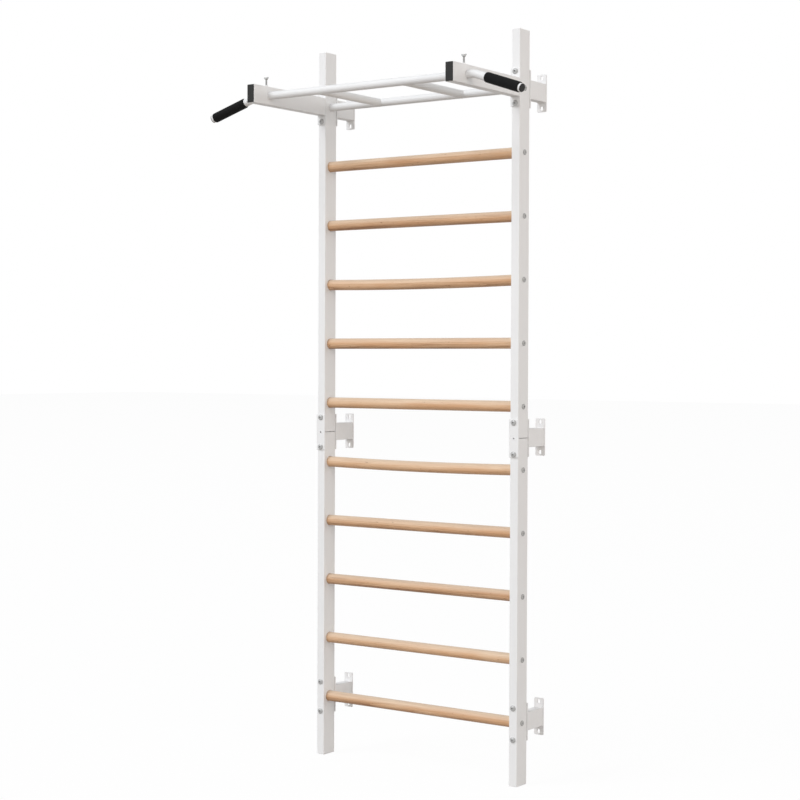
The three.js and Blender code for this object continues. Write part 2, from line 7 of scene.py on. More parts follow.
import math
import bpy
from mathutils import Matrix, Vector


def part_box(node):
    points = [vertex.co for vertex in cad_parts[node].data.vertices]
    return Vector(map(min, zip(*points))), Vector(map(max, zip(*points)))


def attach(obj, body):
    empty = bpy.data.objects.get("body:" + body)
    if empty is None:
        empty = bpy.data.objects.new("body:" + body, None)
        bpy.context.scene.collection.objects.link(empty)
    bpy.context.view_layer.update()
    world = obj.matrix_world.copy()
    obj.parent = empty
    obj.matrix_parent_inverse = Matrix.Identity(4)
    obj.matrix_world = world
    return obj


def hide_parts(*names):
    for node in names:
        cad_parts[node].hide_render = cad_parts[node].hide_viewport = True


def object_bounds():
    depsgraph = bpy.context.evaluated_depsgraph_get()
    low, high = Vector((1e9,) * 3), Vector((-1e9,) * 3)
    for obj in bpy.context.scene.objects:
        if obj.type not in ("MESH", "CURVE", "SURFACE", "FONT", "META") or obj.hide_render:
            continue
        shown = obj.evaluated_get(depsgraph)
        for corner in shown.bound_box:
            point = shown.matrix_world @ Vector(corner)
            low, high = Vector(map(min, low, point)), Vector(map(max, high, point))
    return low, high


bl_info = {
    "name": "Swedish Wall Bars",
    "version": (1, 0, 0),
    "blender": (4, 5, 0),
    "location": "View3D > Sidebar > Wall Bars",
    "description": "Builds steel wall bars with wooden rungs and a pull-up frame",
    "category": "Object",
}

import bmesh
import bpy
from bpy.props import FloatProperty
from bpy.props import FloatVectorProperty
from bpy.props import PointerProperty
from mathutils import Matrix
from mathutils import Vector

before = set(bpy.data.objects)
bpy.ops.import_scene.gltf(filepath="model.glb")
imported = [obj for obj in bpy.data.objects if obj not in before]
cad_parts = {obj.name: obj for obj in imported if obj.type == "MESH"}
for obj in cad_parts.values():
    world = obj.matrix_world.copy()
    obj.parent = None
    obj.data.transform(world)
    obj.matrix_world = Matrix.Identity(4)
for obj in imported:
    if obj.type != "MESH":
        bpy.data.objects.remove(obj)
cad_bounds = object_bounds()

SIDES = {"left": -1, "right": 1}
PLACES = ("foot", "middle", "top")
LEVELS = ("upper", "lower")
RUNGS = sorted(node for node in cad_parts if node.startswith("rung_"))

X_AXIS = Vector((1, 0, 0))
Y_AXIS = Vector((0, 1, 0))
Z_AXIS = Vector((0, 0, 1))

# Turns a form that was built up Z so that it points out of the wall, its Y side up
FORWARD = Matrix.Rotation(math.pi / 2, 4, "X")

WHITE = (1.0, 1.0, 1.0, 1.0)

# Facets of round forms
ROUND_FACETS = 48
SCREW_FACETS = 32
CORNER_STEPS = 6
EASE_STEPS = 3
BEAD_FACETS = 8
SMOOTH_ANGLE = math.radians(35)


class NodeBox:
    """Where a CAD node lies at rest: its corners, middle and size."""

    def __init__(self, node):
        self.low, self.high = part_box(node)
        self.middle = (self.low + self.high) / 2
        self.size = self.high - self.low


POST = NodeBox("right_upper_post")
PLATE = NodeBox("left_splice_plate")
RUNG = NodeBox(RUNGS[0])
FRONT_BAR = NodeBox("front_cross_tube")
REAR_BAR = NodeBox("rear_cross_tube")
RUNG_PITCH = NodeBox(RUNGS[1]).middle.z - RUNG.middle.z
RUNG_RADIUS = RUNG.size.z / 2
BAR_RADIUS = FRONT_BAR.size.z / 2
TUBE_WALL = 0.0015
FIT_GAP = 0.0003


def length(name, description, default):
    """A length that a user may change, in metres."""
    return FloatProperty(name=name, description=description, default=default, unit="LENGTH", precision=4)


def angle(name, description, degrees):
    """An angle that a user may change."""
    turn = math.radians(degrees)
    return FloatProperty(name=name, description=description, default=turn, subtype="ANGLE")


def amount(name, description, default):
    """A plain number that a user may change."""
    return FloatProperty(name=name, description=description, default=default, min=0.0)


def point(name, description, default):
    """A place in the row frame that a user may change."""
    return FloatVectorProperty(name=name, description=description, default=default, subtype="XYZ", unit="LENGTH")


def colour(name, description, red, green, blue):
    """A colour that a user may change, written as on a screen from 0 to 255."""
    linear = [((c / 255 + 0.055) / 1.055) ** 2.4 for c in (red, green, blue)]
    return FloatVectorProperty(
        name=name, description=description, default=(*linear, 1.0), size=4, subtype="COLOR", min=0.0, max=1.0
    )


class SteelSettings(bpy.types.PropertyGroup):
    """Sheet and tube sizes of the steel and its powder coat."""

    wall: length("Tube wall", "Wall of the rectangular tube", TUBE_WALL)
    corner: length("Tube corner", "Outer corner radius of the rectangular tube", 0.0015)
    bar_wall: length("Bar wall", "Wall of the round tube", TUBE_WALL)
    plate: length("Plate", "Thickness of the flat bar plates", PLATE.size.y)
    plate_corner: length("Plate corner", "Corner radius of the flat bar plates", 0.002)
    ear_corner: length("Ear corner", "Corner radius of the wall plates", 0.004)
    ease: length("Edge", "Rounding that the coat leaves on cut edges", 0.0007)
    plate_ease: length("Plate edge", "Rounding of the plates' sheared edges", 0.0011)
    weld: length("Weld bead", "Radius of the weld beads", 0.0012)
    slot_width: length("Slot width", "Width of the slots in the wall plates", 0.008)
    slot_length: length("Slot length", "Length of the slots in the wall plates", 0.012)
    slot_edge: length("Slot edge", "Steel between a slot and the end of its plate", 0.004)
    seam_gap: length("Seam gap", "Gap between the two lengths of an upright", 0.0008)
    vent: length("Vent", "Diameter of the vent in a bracket's post plate", 0.006)
    seam_hole: length("Seam plate hole", "Diameter of the centre hole of a seam plate", 0.005)
    coat: colour("Coat", "Colour of the powder coat", 236, 236, 236)


class RungSettings(bpy.types.PropertyGroup):
    """Form and grain of the turned rungs."""

    clearance: length("Clearance", "Gap between a rung and its hole", FIT_GAP)
    end_round: length("End round", "Rounding of the rungs' ends", 0.0015)
    sag: length("Sag", "How far the two worn rungs bow at their middle", 0.004)
    ring_width: length("Growth ring", "Width of a growth ring", 0.0042)
    pale: colour("Pale wood", "Colour of the early wood", 227, 193, 159)
    middle: colour("Middle wood", "Colour between the early and the late wood", 210, 170, 133)
    dark: colour("Dark wood", "Colour of the darkest streaks", 150, 104, 70)
    heart: colour("Heart wood", "Colour of the warm patches", 207, 156, 113)
    # Painted sheen: a pale colour laid on the rungs' upward faces in place of the reflection of light from above
    painted_top_sheen: colour("Painted top sheen", "Pale colour painted on top of the rungs as sheen", 218, 206, 188)


class FastenerSettings(bpy.types.PropertyGroup):
    """Sizes and finish of the bolts, screws, nuts and wing screws."""

    bolt: length("Bolt", "Diameter of the bracket bolts", 0.008)
    bolt_head: length("Bolt head", "Height of a bracket bolt's head", 0.005)
    bolt_socket: length("Bolt socket", "Width of a bracket bolt's socket", 0.005)
    nut: length("Nut", "Width of a bracket's weld nuts", 0.013)
    nut_height: length("Nut height", "Height of a bracket's weld nuts", 0.0065)
    screw: length("Rung screw", "Diameter of the rung screws", 0.006)
    screw_head: length("Rung screw head", "Diameter of the rung screws' heads", 0.015)
    screw_head_height: length("Rung screw head height", "Height of the rung screws' heads", 0.0042)
    screw_socket: length("Rung screw socket", "Width of the rung screws' sockets", 0.0055)
    screw_grip: length("Rung screw grip", "How deep a rung screw reaches into the rung", 0.03)
    wing_screw: length("Wing screw", "Diameter of the wing screws", 0.006)
    wing_pitch: length("Wing screw pitch", "Thread pitch of the wing screws", 0.001)
    wing_hub: length("Wing hub", "Diameter of a wing screw's hub", 0.009)
    wing_height: length("Wing height", "Height of the wing above its shank", 0.0075)
    wing_thickness: length("Wing thickness", "Thickness of the wings", 0.0026)
    wing_nut: length("Wing screw nut", "Width of the nut under a wing screw", 0.010)
    wing_nut_height: length("Wing screw nut height", "Height of the nut under a wing screw", 0.005)
    zinc: colour("Zinc", "Colour of the zinc plating", 187, 187, 186)


class HandleSettings(bpy.types.PropertyGroup):
    """Bend and grips of the outer handles, and the black plastic of the pull-up frame."""

    shank: length("Shank", "Length of the necked shank inside the front bar", 0.060)
    neck_gap: length("Neck gap", "Gap between the neck and the front bar's bore", FIT_GAP)
    insert: length("Insert", "How far the shoulder sits in the arm", POST.size.x - TUBE_WALL - FIT_GAP)
    lead: length("Lead", "Straight length between the arm and the bend", 0.011)
    bend_radius: length("Bend radius", "Radius of the bend on the tube's axis", 0.060)
    bend: angle("Bend", "Angle of the bend", 19.5)
    swivel: angle("Swivel", "How far the handles lean forward at rest", 15.0)
    grip_gap: length("Grip gap", "Bare tube between the bend and the grip", 0.030)
    grip_length: length("Grip length", "Length of the rubber sleeve", 0.111)
    grip_thickness: length("Grip thickness", "Thickness of the rubber sleeve", 0.0022)
    grip_round: length("Grip round", "Length of the sleeve's rounded ends", 0.004)
    tail: length("Tail", "Bare tube beyond the grip", 0.006)
    plug_flange: length("Plug flange", "Thickness of an end plug's flange", 0.002)
    plug_stem: length("Plug stem", "Length of an end plug's stem", 0.015)
    cap_flange: length("Cap flange", "Thickness of an arm cap's flange", 0.002)
    rubber: colour("Rubber", "Colour of the grips", 25, 25, 25)
    plastic: colour("Plastic", "Colour of the caps and plugs", 38, 38, 37)
    pale_plastic: colour("Pale plastic", "Colour of the uprights' end plugs", 226, 226, 224)


class StudioSettings(bpy.types.PropertyGroup):
    """Camera and soft light."""

    camera: point("Camera", "Where the camera stands", (2.8207, -4.1340, 1.1425))
    yaw: angle("Yaw", "Turn of the camera to the left of straight ahead", 35.665)
    pitch: angle("Pitch", "Tilt of the camera above the horizon", -0.844)
    roll: angle("Roll", "Lean of the camera to its left", 0.213)
    lens: amount("Lens", "Focal length in millimetres on a 36 mm sensor", 79.28)
    shift: FloatProperty(name="Shift", description="Upward shift of the view", default=-0.01795)
    key: point("Key light", "Where the key light hangs", (-14.2, -26.9, 27.3))
    key_power: amount("Key power", "Power of the key light in watts", 8250.0)
    key_size: length("Key size", "Width of the key light", 18.0)
    key_tint: colour("Key colour", "Colour of the key light", 246, 250, 255)
    fill: point("Fill light", "Where the fill light hangs", (4.8, -1.4, 2.2))
    fill_power: amount("Fill power", "Power of the fill light in watts", 39.0)
    fill_size: length("Fill size", "Width of the fill light", 1.7)
    fill_tint: colour("Fill colour", "Colour of the fill light", 255, 238, 225)
    sky: amount("Sky", "Strength of the soft light from straight above", 0.0)
    horizon: amount("Horizon", "Strength of the soft light from all round", 1.53)
    floor: colour("Floor", "Colour of the light that the floor throws back", 172, 166, 160)
    floor_glow: amount("Floor glow", "Share of plain white in the floor that the camera sees", 0.95)


class WallBarsSettings(bpy.types.PropertyGroup):
    """Everything that can be changed on the wall bars."""

    steel: PointerProperty(type=SteelSettings, name="Steel", description="Steel and powder coat")
    rungs: PointerProperty(type=RungSettings, name="Rungs", description="Turned wooden rungs")
    fasteners: PointerProperty(type=FastenerSettings, name="Fasteners", description="Bolts and screws")
    handles: PointerProperty(type=HandleSettings, name="Handles", description="Handles, grips and caps")
    studio: PointerProperty(type=StudioSettings, name="Studio", description="Camera and light")


# Outlines and shells


def circle(radius, count):
    """Points of a circle in the XY plane."""
    turns = [2 * math.pi * i / count for i in range(count)]
    return [Vector((radius * math.cos(turn), radius * math.sin(turn), 0)) for turn in turns]


def rounded_rect(width, depth, corner):
    """Points of a rectangle with round corners in the XY plane."""
    points = []
    for quarter, (x, y) in enumerate(((1, 1), (-1, 1), (-1, -1), (1, -1))):
        centre = Vector((x * (width / 2 - corner), y * (depth / 2 - corner), 0))
        for i in range(CORNER_STEPS + 1):
            turn = (quarter + i / CORNER_STEPS) * math.pi / 2
            points.append(centre + corner * Vector((math.cos(turn), math.sin(turn), 0)))
    return points


def lifted(outline, height):
    """An outline moved up Z."""
    return [place + height * Z_AXIS for place in outline]


def eased(height, ease):
    """Heights of a form and how far its outline draws in there, for rounded end edges."""
    turns = [math.pi / 2 * i / EASE_STEPS for i in range(EASE_STEPS + 1)]
    foot = [(ease * (1 - math.cos(turn)), ease * (1 - math.sin(turn))) for turn in turns]
    return foot + [(height - rise, inset) for rise, inset in reversed(foot)]


def walk(outline, count):
    """Points at even steps along a closed outline."""
    corners = outline + outline[:1]
    lengths = [(b - a).length for a, b in zip(corners, corners[1:])]
    step = sum(lengths) / count
    points = []
    passed = 0.0
    for start, end, run in zip(corners, corners[1:], lengths):
        while run > 0 and len(points) * step < passed + run and len(points) < count:
            points.append(start.lerp(end, (len(points) * step - passed) / run))
        passed += run
    return points


def skin(rings, looped=False):
    """A shell through rings of points, closed by flat ends or back to the first ring."""
    shell = bmesh.new()
    loops = [[shell.verts.new(place) for place in ring] for ring in rings]
    following = loops[1:] + loops[:1] if looped else loops[1:]
    for lower, upper in zip(loops, following):
        for i in range(len(lower)):
            j = (i + 1) % len(lower)
            shell.faces.new((lower[i], lower[j], upper[j], upper[i]))
    if not looped:
        shell.faces.new(list(reversed(loops[0])))
        shell.faces.new(loops[-1])
    bmesh.ops.recalc_face_normals(shell, faces=shell.faces)
    return shell


def moved(shell, matrix):
    """The same shell in another place."""
    bmesh.ops.transform(shell, matrix=matrix, verts=shell.verts)
    return shell


def facing(direction, place):
    """Matrix that turns Z towards a direction and moves the origin to a place."""
    turn = Vector(direction).to_track_quat("Z", "Y").to_matrix().to_4x4()
    return Matrix.Translation(place) @ turn


def turned(profile, count=ROUND_FACETS, looped=False):
    """A form turned about Z from radii and heights."""
    return skin([lifted(circle(radius, count), height) for radius, height in profile], looped)


def bar(radius, start, end, count=SCREW_FACETS):
    """Plain round bar between two places, for cutting holes."""
    along = Vector(end) - Vector(start)
    return moved(turned([(radius, 0), (radius, along.length)], count), facing(along, start))


def block(width, depth, height, corner, ease):
    """Solid block up Z with round corners and eased ends."""
    rings = []
    for rise, inset in eased(height, ease):
        rings.append(lifted(rounded_rect(width - 2 * inset, depth - 2 * inset, corner - inset), rise))
    return skin(rings)


def hollow_block(width, depth, height, steel):
    """Rectangular tube up Z with eased outer ends."""
    rings = []
    for rise, inset in eased(height, steel.ease):
        outline = rounded_rect(width - 2 * inset, depth - 2 * inset, steel.corner - inset)
        rings.append(lifted(outline, rise))
    inner_corner = max(steel.corner - steel.wall, steel.wall / 4)
    inside = rounded_rect(width - 2 * steel.wall, depth - 2 * steel.wall, inner_corner)
    rings.append(lifted(inside, height))
    rings.append(lifted(inside, 0))
    return skin(rings, looped=True)


def hollow_bar(radius, bore, height, ease):
    """Round tube up Z with eased outer ends."""
    profile = [(radius - inset, rise) for rise, inset in eased(height, ease)]
    return turned(profile + [(bore, height), (bore, 0)], looped=True)


def hexagon(width, height, chamfer):
    """Hexagon block up Z, so wide across its flats, with chamfered ends."""
    corner = width / 2 / math.cos(math.pi / 6)
    profile = [(corner - chamfer, 0), (corner, chamfer), (corner, height - chamfer), (corner - chamfer, height)]
    return turned(profile, 6)


def slot(width, height, depth):
    """Slot-shaped bar up Z from the origin, long along Y, for cutting."""
    outline = rounded_rect(width, height, width * 0.4999)
    return skin([outline, lifted(outline, depth)])


def bead(points, centre, radius):
    """Closed weld bead along a loop of places, with the ripples of its run."""
    count = len(points)
    rings = []
    for i, place in enumerate(points):
        along = (points[(i + 1) % count] - points[i - 1]).normalized()
        out = place - centre
        out = (out - out.dot(along) * along).normalized()
        side = along.cross(out)
        swell = radius * (1 + 0.12 * math.sin(math.pi * i / 2))
        ring = [place + swell * (c.x * out + c.y * side) for c in circle(1, BEAD_FACETS)]
        rings.append(ring)
    return skin(rings, looped=True)


def temporary(shells):
    """Scratch object of shells, which are used up."""
    mesh = bpy.data.meshes.new("scratch")
    whole = bmesh.new()
    for shell in shells:
        shell.to_mesh(mesh)
        shell.free()
        whole.from_mesh(mesh)
    whole.to_mesh(mesh)
    whole.free()
    scratch = bpy.data.objects.new("scratch", mesh)
    bpy.context.scene.collection.objects.link(scratch)
    return scratch


def cut(shell, cutters):
    """What is left of a shell once its cutters have passed through it."""
    body = temporary([shell])
    tool = temporary(cutters)
    modifier = body.modifiers.new("cut", "BOOLEAN")
    modifier.operation = "DIFFERENCE"
    modifier.solver = "EXACT"
    modifier.object = tool
    bpy.context.view_layer.update()
    left = bmesh.new()
    left.from_mesh(body.evaluated_get(bpy.context.evaluated_depsgraph_get()).data)
    for used in (body, tool):
        mesh = used.data
        bpy.data.objects.remove(used)
        bpy.data.meshes.remove(mesh)
    return left


def form(name, shells, finish):
    """Finished mesh of one or more shells, smooth apart from its real edges."""
    scratch = temporary(shells)
    mesh = scratch.data
    bpy.data.objects.remove(scratch)
    mesh.name = name
    mesh.shade_smooth()
    mesh.set_sharp_from_angle(angle=SMOOTH_ANGLE)
    mesh.materials.append(finish)
    return mesh


def add_piece(name, mesh, body, nodes=(), place=None):
    """Shows a mesh as a piece that rides on a body and stands for its CAD nodes."""
    piece = bpy.data.objects.new(name, mesh)
    bpy.context.scene.collection.objects.link(piece)
    if place is not None:
        piece.matrix_world = place
    normals = piece.modifiers.new("weighted_normals", "WEIGHTED_NORMAL")
    normals.keep_sharp = True
    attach(piece, body)
    if nodes:
        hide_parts(*nodes)
    return piece


# Finishes


class Value:
    """An output socket that works in Python expressions, each of which adds a Math node."""

    def __init__(self, shader, socket):
        self.shader = shader
        self.socket = socket

    def output(self, name):
        """Another output of the same node."""
        return Value(self.shader, self.socket.node.outputs[name])

    def math(self, operation, *numbers):
        """A Math node on these numbers."""
        return self.shader.node("ShaderNodeMath", {"operation": operation}, dict(enumerate(numbers)))

    def __add__(self, other):
        return self.math("ADD", self, other)

    def __radd__(self, other):
        return self.math("ADD", other, self)

    def __sub__(self, other):
        return self.math("SUBTRACT", self, other)

    def __rsub__(self, other):
        return self.math("SUBTRACT", other, self)

    def __mul__(self, other):
        return self.math("MULTIPLY", self, other)

    def __rmul__(self, other):
        return self.math("MULTIPLY", other, self)

    def __truediv__(self, other):
        return self.math("DIVIDE", self, other)

    def __rtruediv__(self, other):
        return self.math("DIVIDE", other, self)

    def __pow__(self, other):
        return self.math("POWER", self, other)

    def __rpow__(self, other):
        return self.math("POWER", other, self)


class Shader:
    """A node tree under construction."""

    def __init__(self, tree):
        self.tree = tree
        self.tree.nodes.clear()

    def node(self, kind, settings=None, sockets=None, output=0):
        """A node with its settings made first, then the values or links of its sockets."""
        made = self.tree.nodes.new(kind)
        for key, value in (settings or {}).items():
            if key == "stops":
                self.set_stops(made.color_ramp, value)
            else:
                setattr(made, key, value)
        for key, value in (sockets or {}).items():
            if isinstance(value, Value):
                self.tree.links.new(value.socket, made.inputs[key])
            else:
                made.inputs[key].default_value = value
        return Value(self, made.outputs[output]) if made.outputs else None

    def set_stops(self, ramp, stops):
        """The places and colours of a ramp."""
        while len(ramp.elements) < len(stops):
            ramp.elements.new(0.5)
        for element, (place, tint) in zip(ramp.elements, stops):
            element.position = place
            element.color = tint

    def place(self):
        """Place on the piece, in metres."""
        return self.node("ShaderNodeTexCoord", output="Object")

    def stretched(self, vector, x, y, z):
        """A place with its axes scaled."""
        return self.node("ShaderNodeMapping", None, {"Vector": vector, "Scale": (x, y, z)})

    def noise(self, vector, scale, detail=2.0, roughness=0.5):
        """Soft noise about one half."""
        sockets = {"Vector": vector, "Scale": scale, "Detail": detail, "Roughness": roughness}
        return self.node("ShaderNodeTexNoise", {"noise_dimensions": "3D"}, sockets)

    def ramp(self, factor, stops):
        """Colour or value from stops."""
        return self.node("ShaderNodeValToRGB", {"stops": stops}, {"Fac": factor})

    def mix(self, factor, first, second):
        """Colour between two colours."""
        return self.node("ShaderNodeMix", {"data_type": "RGBA"}, {0: factor, 6: first, 7: second}, 2)

    def bump(self, height, distance, strength=1.0):
        """Normal of a relief so deep."""
        sockets = {"Height": height, "Distance": distance, "Strength": strength}
        return self.node("ShaderNodeBump", None, sockets)

    def surface(self, **sockets):
        """Principled shader on the material's output; names stand for its sockets."""
        named = {key.replace("_", " ").title().replace("Ior", "IOR"): value for key, value in sockets.items()}
        shading = self.node("ShaderNodeBsdfPrincipled", None, named)
        self.node("ShaderNodeOutputMaterial", None, {"Surface": shading})


def shade(tint, share):
    """A colour with its light scaled."""
    return (tint[0] * share, tint[1] * share, tint[2] * share, 1.0)


def finish_of(name):
    """A finish of the wall bars, made when it is first asked for."""
    found = bpy.data.materials.get(name)
    if found:
        return found
    material = bpy.data.materials.new(name)
    material.use_nodes = True
    FINISHES[name](Shader(material.node_tree), bpy.context.scene.wall_bars)
    return material


def powder_coat(shader, settings):
    """White powder coat: fine orange peel, faint clouds of tone and gloss."""
    place = shader.place()
    cloud = shader.noise(place, 7.0, 3.0)
    peel = shader.noise(place, 620.0, 2.0)
    grit = shader.noise(place, 2100.0, 1.0)
    tint = settings.steel.coat
    shader.surface(
        base_color=shader.mix(cloud, shade(tint, 0.965), shade(tint, 1.0)),
        roughness=0.40 + 0.12 * cloud + 0.06 * grit,
        specular_ior_level=0.4,
        normal=shader.bump(peel + 0.35 * grit, 0.00006, 0.6),
    )


def turned_wood(shader, settings):
    """Oiled pale hardwood: each rung has its own pith, growth rings, streaks and fibres; painted sheen on top,
    painted shade below.
    """
    wood = settings.rungs
    place = shader.place()
    axes = shader.node("ShaderNodeSeparateXYZ", None, {"Vector": place}, "X")
    along = axes
    across = axes.output("Y") - RUNG.middle.y
    height = axes.output("Z") - RUNG.middle.z
    number = (height / RUNG_PITCH).math("ROUND", height / RUNG_PITCH)
    rise = height - number * RUNG_PITCH
    dice = shader.node("ShaderNodeTexWhiteNoise", {"noise_dimensions": "1D"}, {"W": number + 3.7}, "Color")
    chance = shader.node("ShaderNodeSeparateColor", None, {"Color": dice}, "Red")
    first = chance
    second = chance.output("Green")
    third = chance.output("Blue")
    turn = 2 * math.pi * first
    away = 0.018 + 0.05 * second
    drift = shader.noise(shader.stretched(place, 2.2, 9.0, 9.0), 1.0, 2.0)
    side = across + away * turn.math("COSINE", turn) + along * (0.05 * third - 0.025)
    up = rise + away * turn.math("SINE", turn) + along * (0.06 * second - 0.03)
    squared = side * side + up * up
    distance = squared.math("SQRT", squared) + 0.016 * drift
    ring = (distance / wood.ring_width).math("FRACT", distance / wood.ring_width)
    late = ring**3.0
    streak = shader.noise(shader.stretched(place, 3.4, 95.0, 95.0), 1.0, 3.0, 0.6)
    fibre = shader.noise(shader.stretched(place, 28.0, 900.0, 900.0), 1.0, 3.0, 0.65)
    pores = shader.noise(shader.stretched(place, 90.0, 1500.0, 1500.0), 1.0, 1.0)
    fleck = shader.ramp(pores, [(0.60, (0, 0, 0, 1)), (0.72, (1, 1, 1, 1))])
    patches = shader.noise(shader.stretched(place, 7.0, 60.0, 60.0), 1.0, 2.0)
    warm = shader.ramp(patches, [(0.46, (0, 0, 0, 1)), (0.66, (1, 1, 1, 1))])
    scars = shader.noise(shader.stretched(place, 70.0, 190.0, 190.0), 1.0, 2.0)
    mark = shader.ramp(scars, [(0.69, (0, 0, 0, 1)), (0.75, (1, 1, 1, 1))])
    tone = 0.30 * late + 1.25 * (streak - 0.5) + 0.5 * (fibre - 0.5) + 0.34 * first + 0.13 + 0.18 * fleck
    facing_way = shader.node("ShaderNodeTexCoord", output="Normal")
    upward = shader.node("ShaderNodeSeparateXYZ", None, {"Vector": facing_way}, "Z")
    # Painted sheen: up to 0.6 of the pale colour on the rungs' upward faces, standing in for the gloss of
    # overhead light
    top_sheen_share = 0.6 * upward.math("MAXIMUM", upward, 0.0)
    # Painted shade: the grain turns darker on the rungs' downward faces, in place of the shade beneath them
    underside_shade_mask = upward.math("MAXIMUM", 0 - upward, 0.0)
    painted_underside_shade = 0.20 * underside_shade_mask + 0.15 * underside_shade_mask**3.0
    stops = [(0.0, wood.pale), (0.48, wood.middle), (1.0, wood.dark)]
    grain = shader.ramp(tone + painted_underside_shade + 0.45 * mark, stops)
    shader.surface(
        base_color=shader.mix(top_sheen_share, shader.mix(0.5 * warm, grain, wood.heart), wood.painted_top_sheen),
        roughness=0.40 + 0.12 * fibre,
        specular_ior_level=0.3,
        normal=shader.bump(fibre + 0.4 * fleck, 0.00012, 0.5),
    )


def zinc_plate(shader, settings):
    """Zinc plating with faint tumbling marks."""
    place = shader.place()
    cloud = shader.noise(place, 420.0, 3.0)
    scuff = shader.noise(shader.stretched(place, 300.0, 1800.0, 1800.0), 1.0, 2.0)
    tint = settings.fasteners.zinc
    shader.surface(
        base_color=shader.mix(cloud, shade(tint, 0.72), shade(tint, 1.05)),
        metallic=0.4,
        roughness=0.42 + 0.16 * scuff,
        normal=shader.bump(scuff, 0.00003, 0.5),
    )


def black_moulding(shader, settings):
    """Moulded black plastic with a fine spark-eroded grain."""
    place = shader.place()
    cloud = shader.noise(place, 60.0, 3.0)
    grain = shader.noise(place, 1500.0, 2.0)
    tint = settings.handles.plastic
    shader.surface(
        base_color=shader.mix(cloud, shade(tint, 0.8), shade(tint, 1.15)),
        roughness=0.46 + 0.14 * grain,
        specular_ior_level=0.25,
        normal=shader.bump(grain, 0.00004, 0.5),
    )


def pale_plastic(shader, settings):
    """Moulded white plastic of the uprights' end plugs."""
    place = shader.place()
    cloud = shader.noise(place, 40.0, 3.0)
    grain = shader.noise(place, 1400.0, 2.0)
    tint = settings.handles.pale_plastic
    shader.surface(
        base_color=shader.mix(cloud, shade(tint, 0.93), shade(tint, 1.0)),
        roughness=0.45 + 0.12 * grain,
        normal=shader.bump(grain, 0.00006, 0.5),
    )


def grip_rubber(shader, settings):
    """Black rubber with a fine diamond knurl round the sleeve, which lies along the piece's Z axis."""
    place = shader.place()
    axes = shader.node("ShaderNodeSeparateXYZ", None, {"Vector": place}, "X")
    turn = axes.math("ARCTAN2", axes.output("Y"), axes)
    climb = axes.output("Z") * (2 * math.pi / 0.0034)
    waves = 26 * turn
    right_hand = (waves + climb).math("SINE", waves + climb)
    left_hand = (waves - climb).math("SINE", waves - climb)
    knurl = right_hand * left_hand
    dust = shader.noise(place, 900.0, 2.0)
    cloud = shader.noise(place, 45.0, 3.0)
    tint = settings.handles.rubber
    # The knurl also darkens the colour along its grooves and lightens it on its ridges: painted shade in the
    # grooves
    shader.surface(
        base_color=shader.mix(cloud + 0.25 * knurl, shade(tint, 0.6), shade(tint, 1.25)),
        roughness=0.62 + 0.2 * dust,
        specular_ior_level=0.08,
        normal=shader.bump(knurl + 0.6 * dust, 0.00025, 0.7),
    )


FINISHES = {
    "powder_coat": powder_coat,
    "turned_wood": turned_wood,
    "zinc_plate": zinc_plate,
    "black_moulding": black_moulding,
    "pale_plastic": pale_plastic,
    "grip_rubber": grip_rubber,
}


# Pieces


def bolt_boxes(side, place):
    """Boxes of the two bolts that hold one bracket."""
    return [NodeBox(f"{side}_{place}_{level}_bolt") for level in LEVELS]


def flat_plate(steel, corner):
    """Flat bar plate standing in the XZ plane, its back at the origin."""
    return moved(block(PLATE.size.x, PLATE.size.z, steel.plate, corner, steel.plate_ease), FORWARD)


def domed_screw(head, head_height, socket, diameter, reach):
    """Button-head screw up Z, the underside of its head at the origin, with a hexagon socket."""
    rim = head_height * 0.12
    wall = head_height * 0.45
    crown = head_height - wall
    ball = (head * head / 4 + crown * crown) / (2 * crown)
    edge = math.asin(head / 2 / ball)
    profile = [(diameter / 2, -reach), (diameter / 2, 0), (head / 2 - rim, 0), (head / 2, rim)]
    for i in range(7):
        turn = edge * (1 - i / 7)
        profile.append((ball * math.sin(turn), ball * math.cos(turn) - ball + head_height))
    depth = head_height * 0.6
    key = moved(hexagon(socket, 2 * depth, 0), Matrix.Translation((0, 0, head_height - depth)))
    return cut(turned(profile, SCREW_FACETS), [key])


def upright_tube(node, side, settings):
    """One length of upright with the holes for its rungs, rung screws and bolts."""
    box = NodeBox(node)
    steel = settings.steel
    gap = steel.seam_gap if "upper" in node else 0.0
    tube = hollow_block(box.size.x, box.size.y, box.size.z - gap, steel)
    moved(tube, Matrix.Translation((box.middle.x, box.middle.y, box.low.z + gap)))
    outward = SIDES[side] * box.size.x * X_AXIS
    seam = box.low.z if "upper" in node else box.high.z
    vent = Vector((box.middle.x, box.middle.y, seam))
    cutters = [bar(steel.seam_hole / 2, vent, vent - box.size.y * Y_AXIS)]
    for rung in RUNGS:
        height = NodeBox(rung).middle.z
        if box.low.z < height < box.high.z:
            middle = Vector((box.middle.x, box.middle.y, height))
            cutters.append(bar(RUNG_RADIUS + settings.rungs.clearance, middle, middle - outward, ROUND_FACETS))
            cutters.append(bar(settings.fasteners.screw / 2, middle, middle + outward))
    if box.high.z > REAR_BAR.middle.z:
        middle = Vector((box.middle.x, box.middle.y, REAR_BAR.middle.z))
        cutters.append(bar(settings.fasteners.screw / 2, middle - outward, middle + outward))
    for place in PLACES:
        for bolt in bolt_boxes(side, place):
            if box.low.z < bolt.middle.z < box.high.z:
                start = Vector((bolt.middle.x, box.low.y - steel.plate, bolt.middle.z))
                end = Vector((bolt.middle.x, box.high.y + steel.plate, bolt.middle.z))
                cutters.append(bar(settings.fasteners.bolt / 2, start, end))
    return cut(tube, cutters)


def plate_holes(bolts, middle, radius, depth):
    """Cutters for the bolt holes of a plate whose middle is at a height."""
    cutters = []
    for bolt in bolts:
        start = Vector((0, -depth, bolt.middle.z - middle))
        cutters.append(bar(radius, start, start + 2 * depth * Y_AXIS))
    return cutters


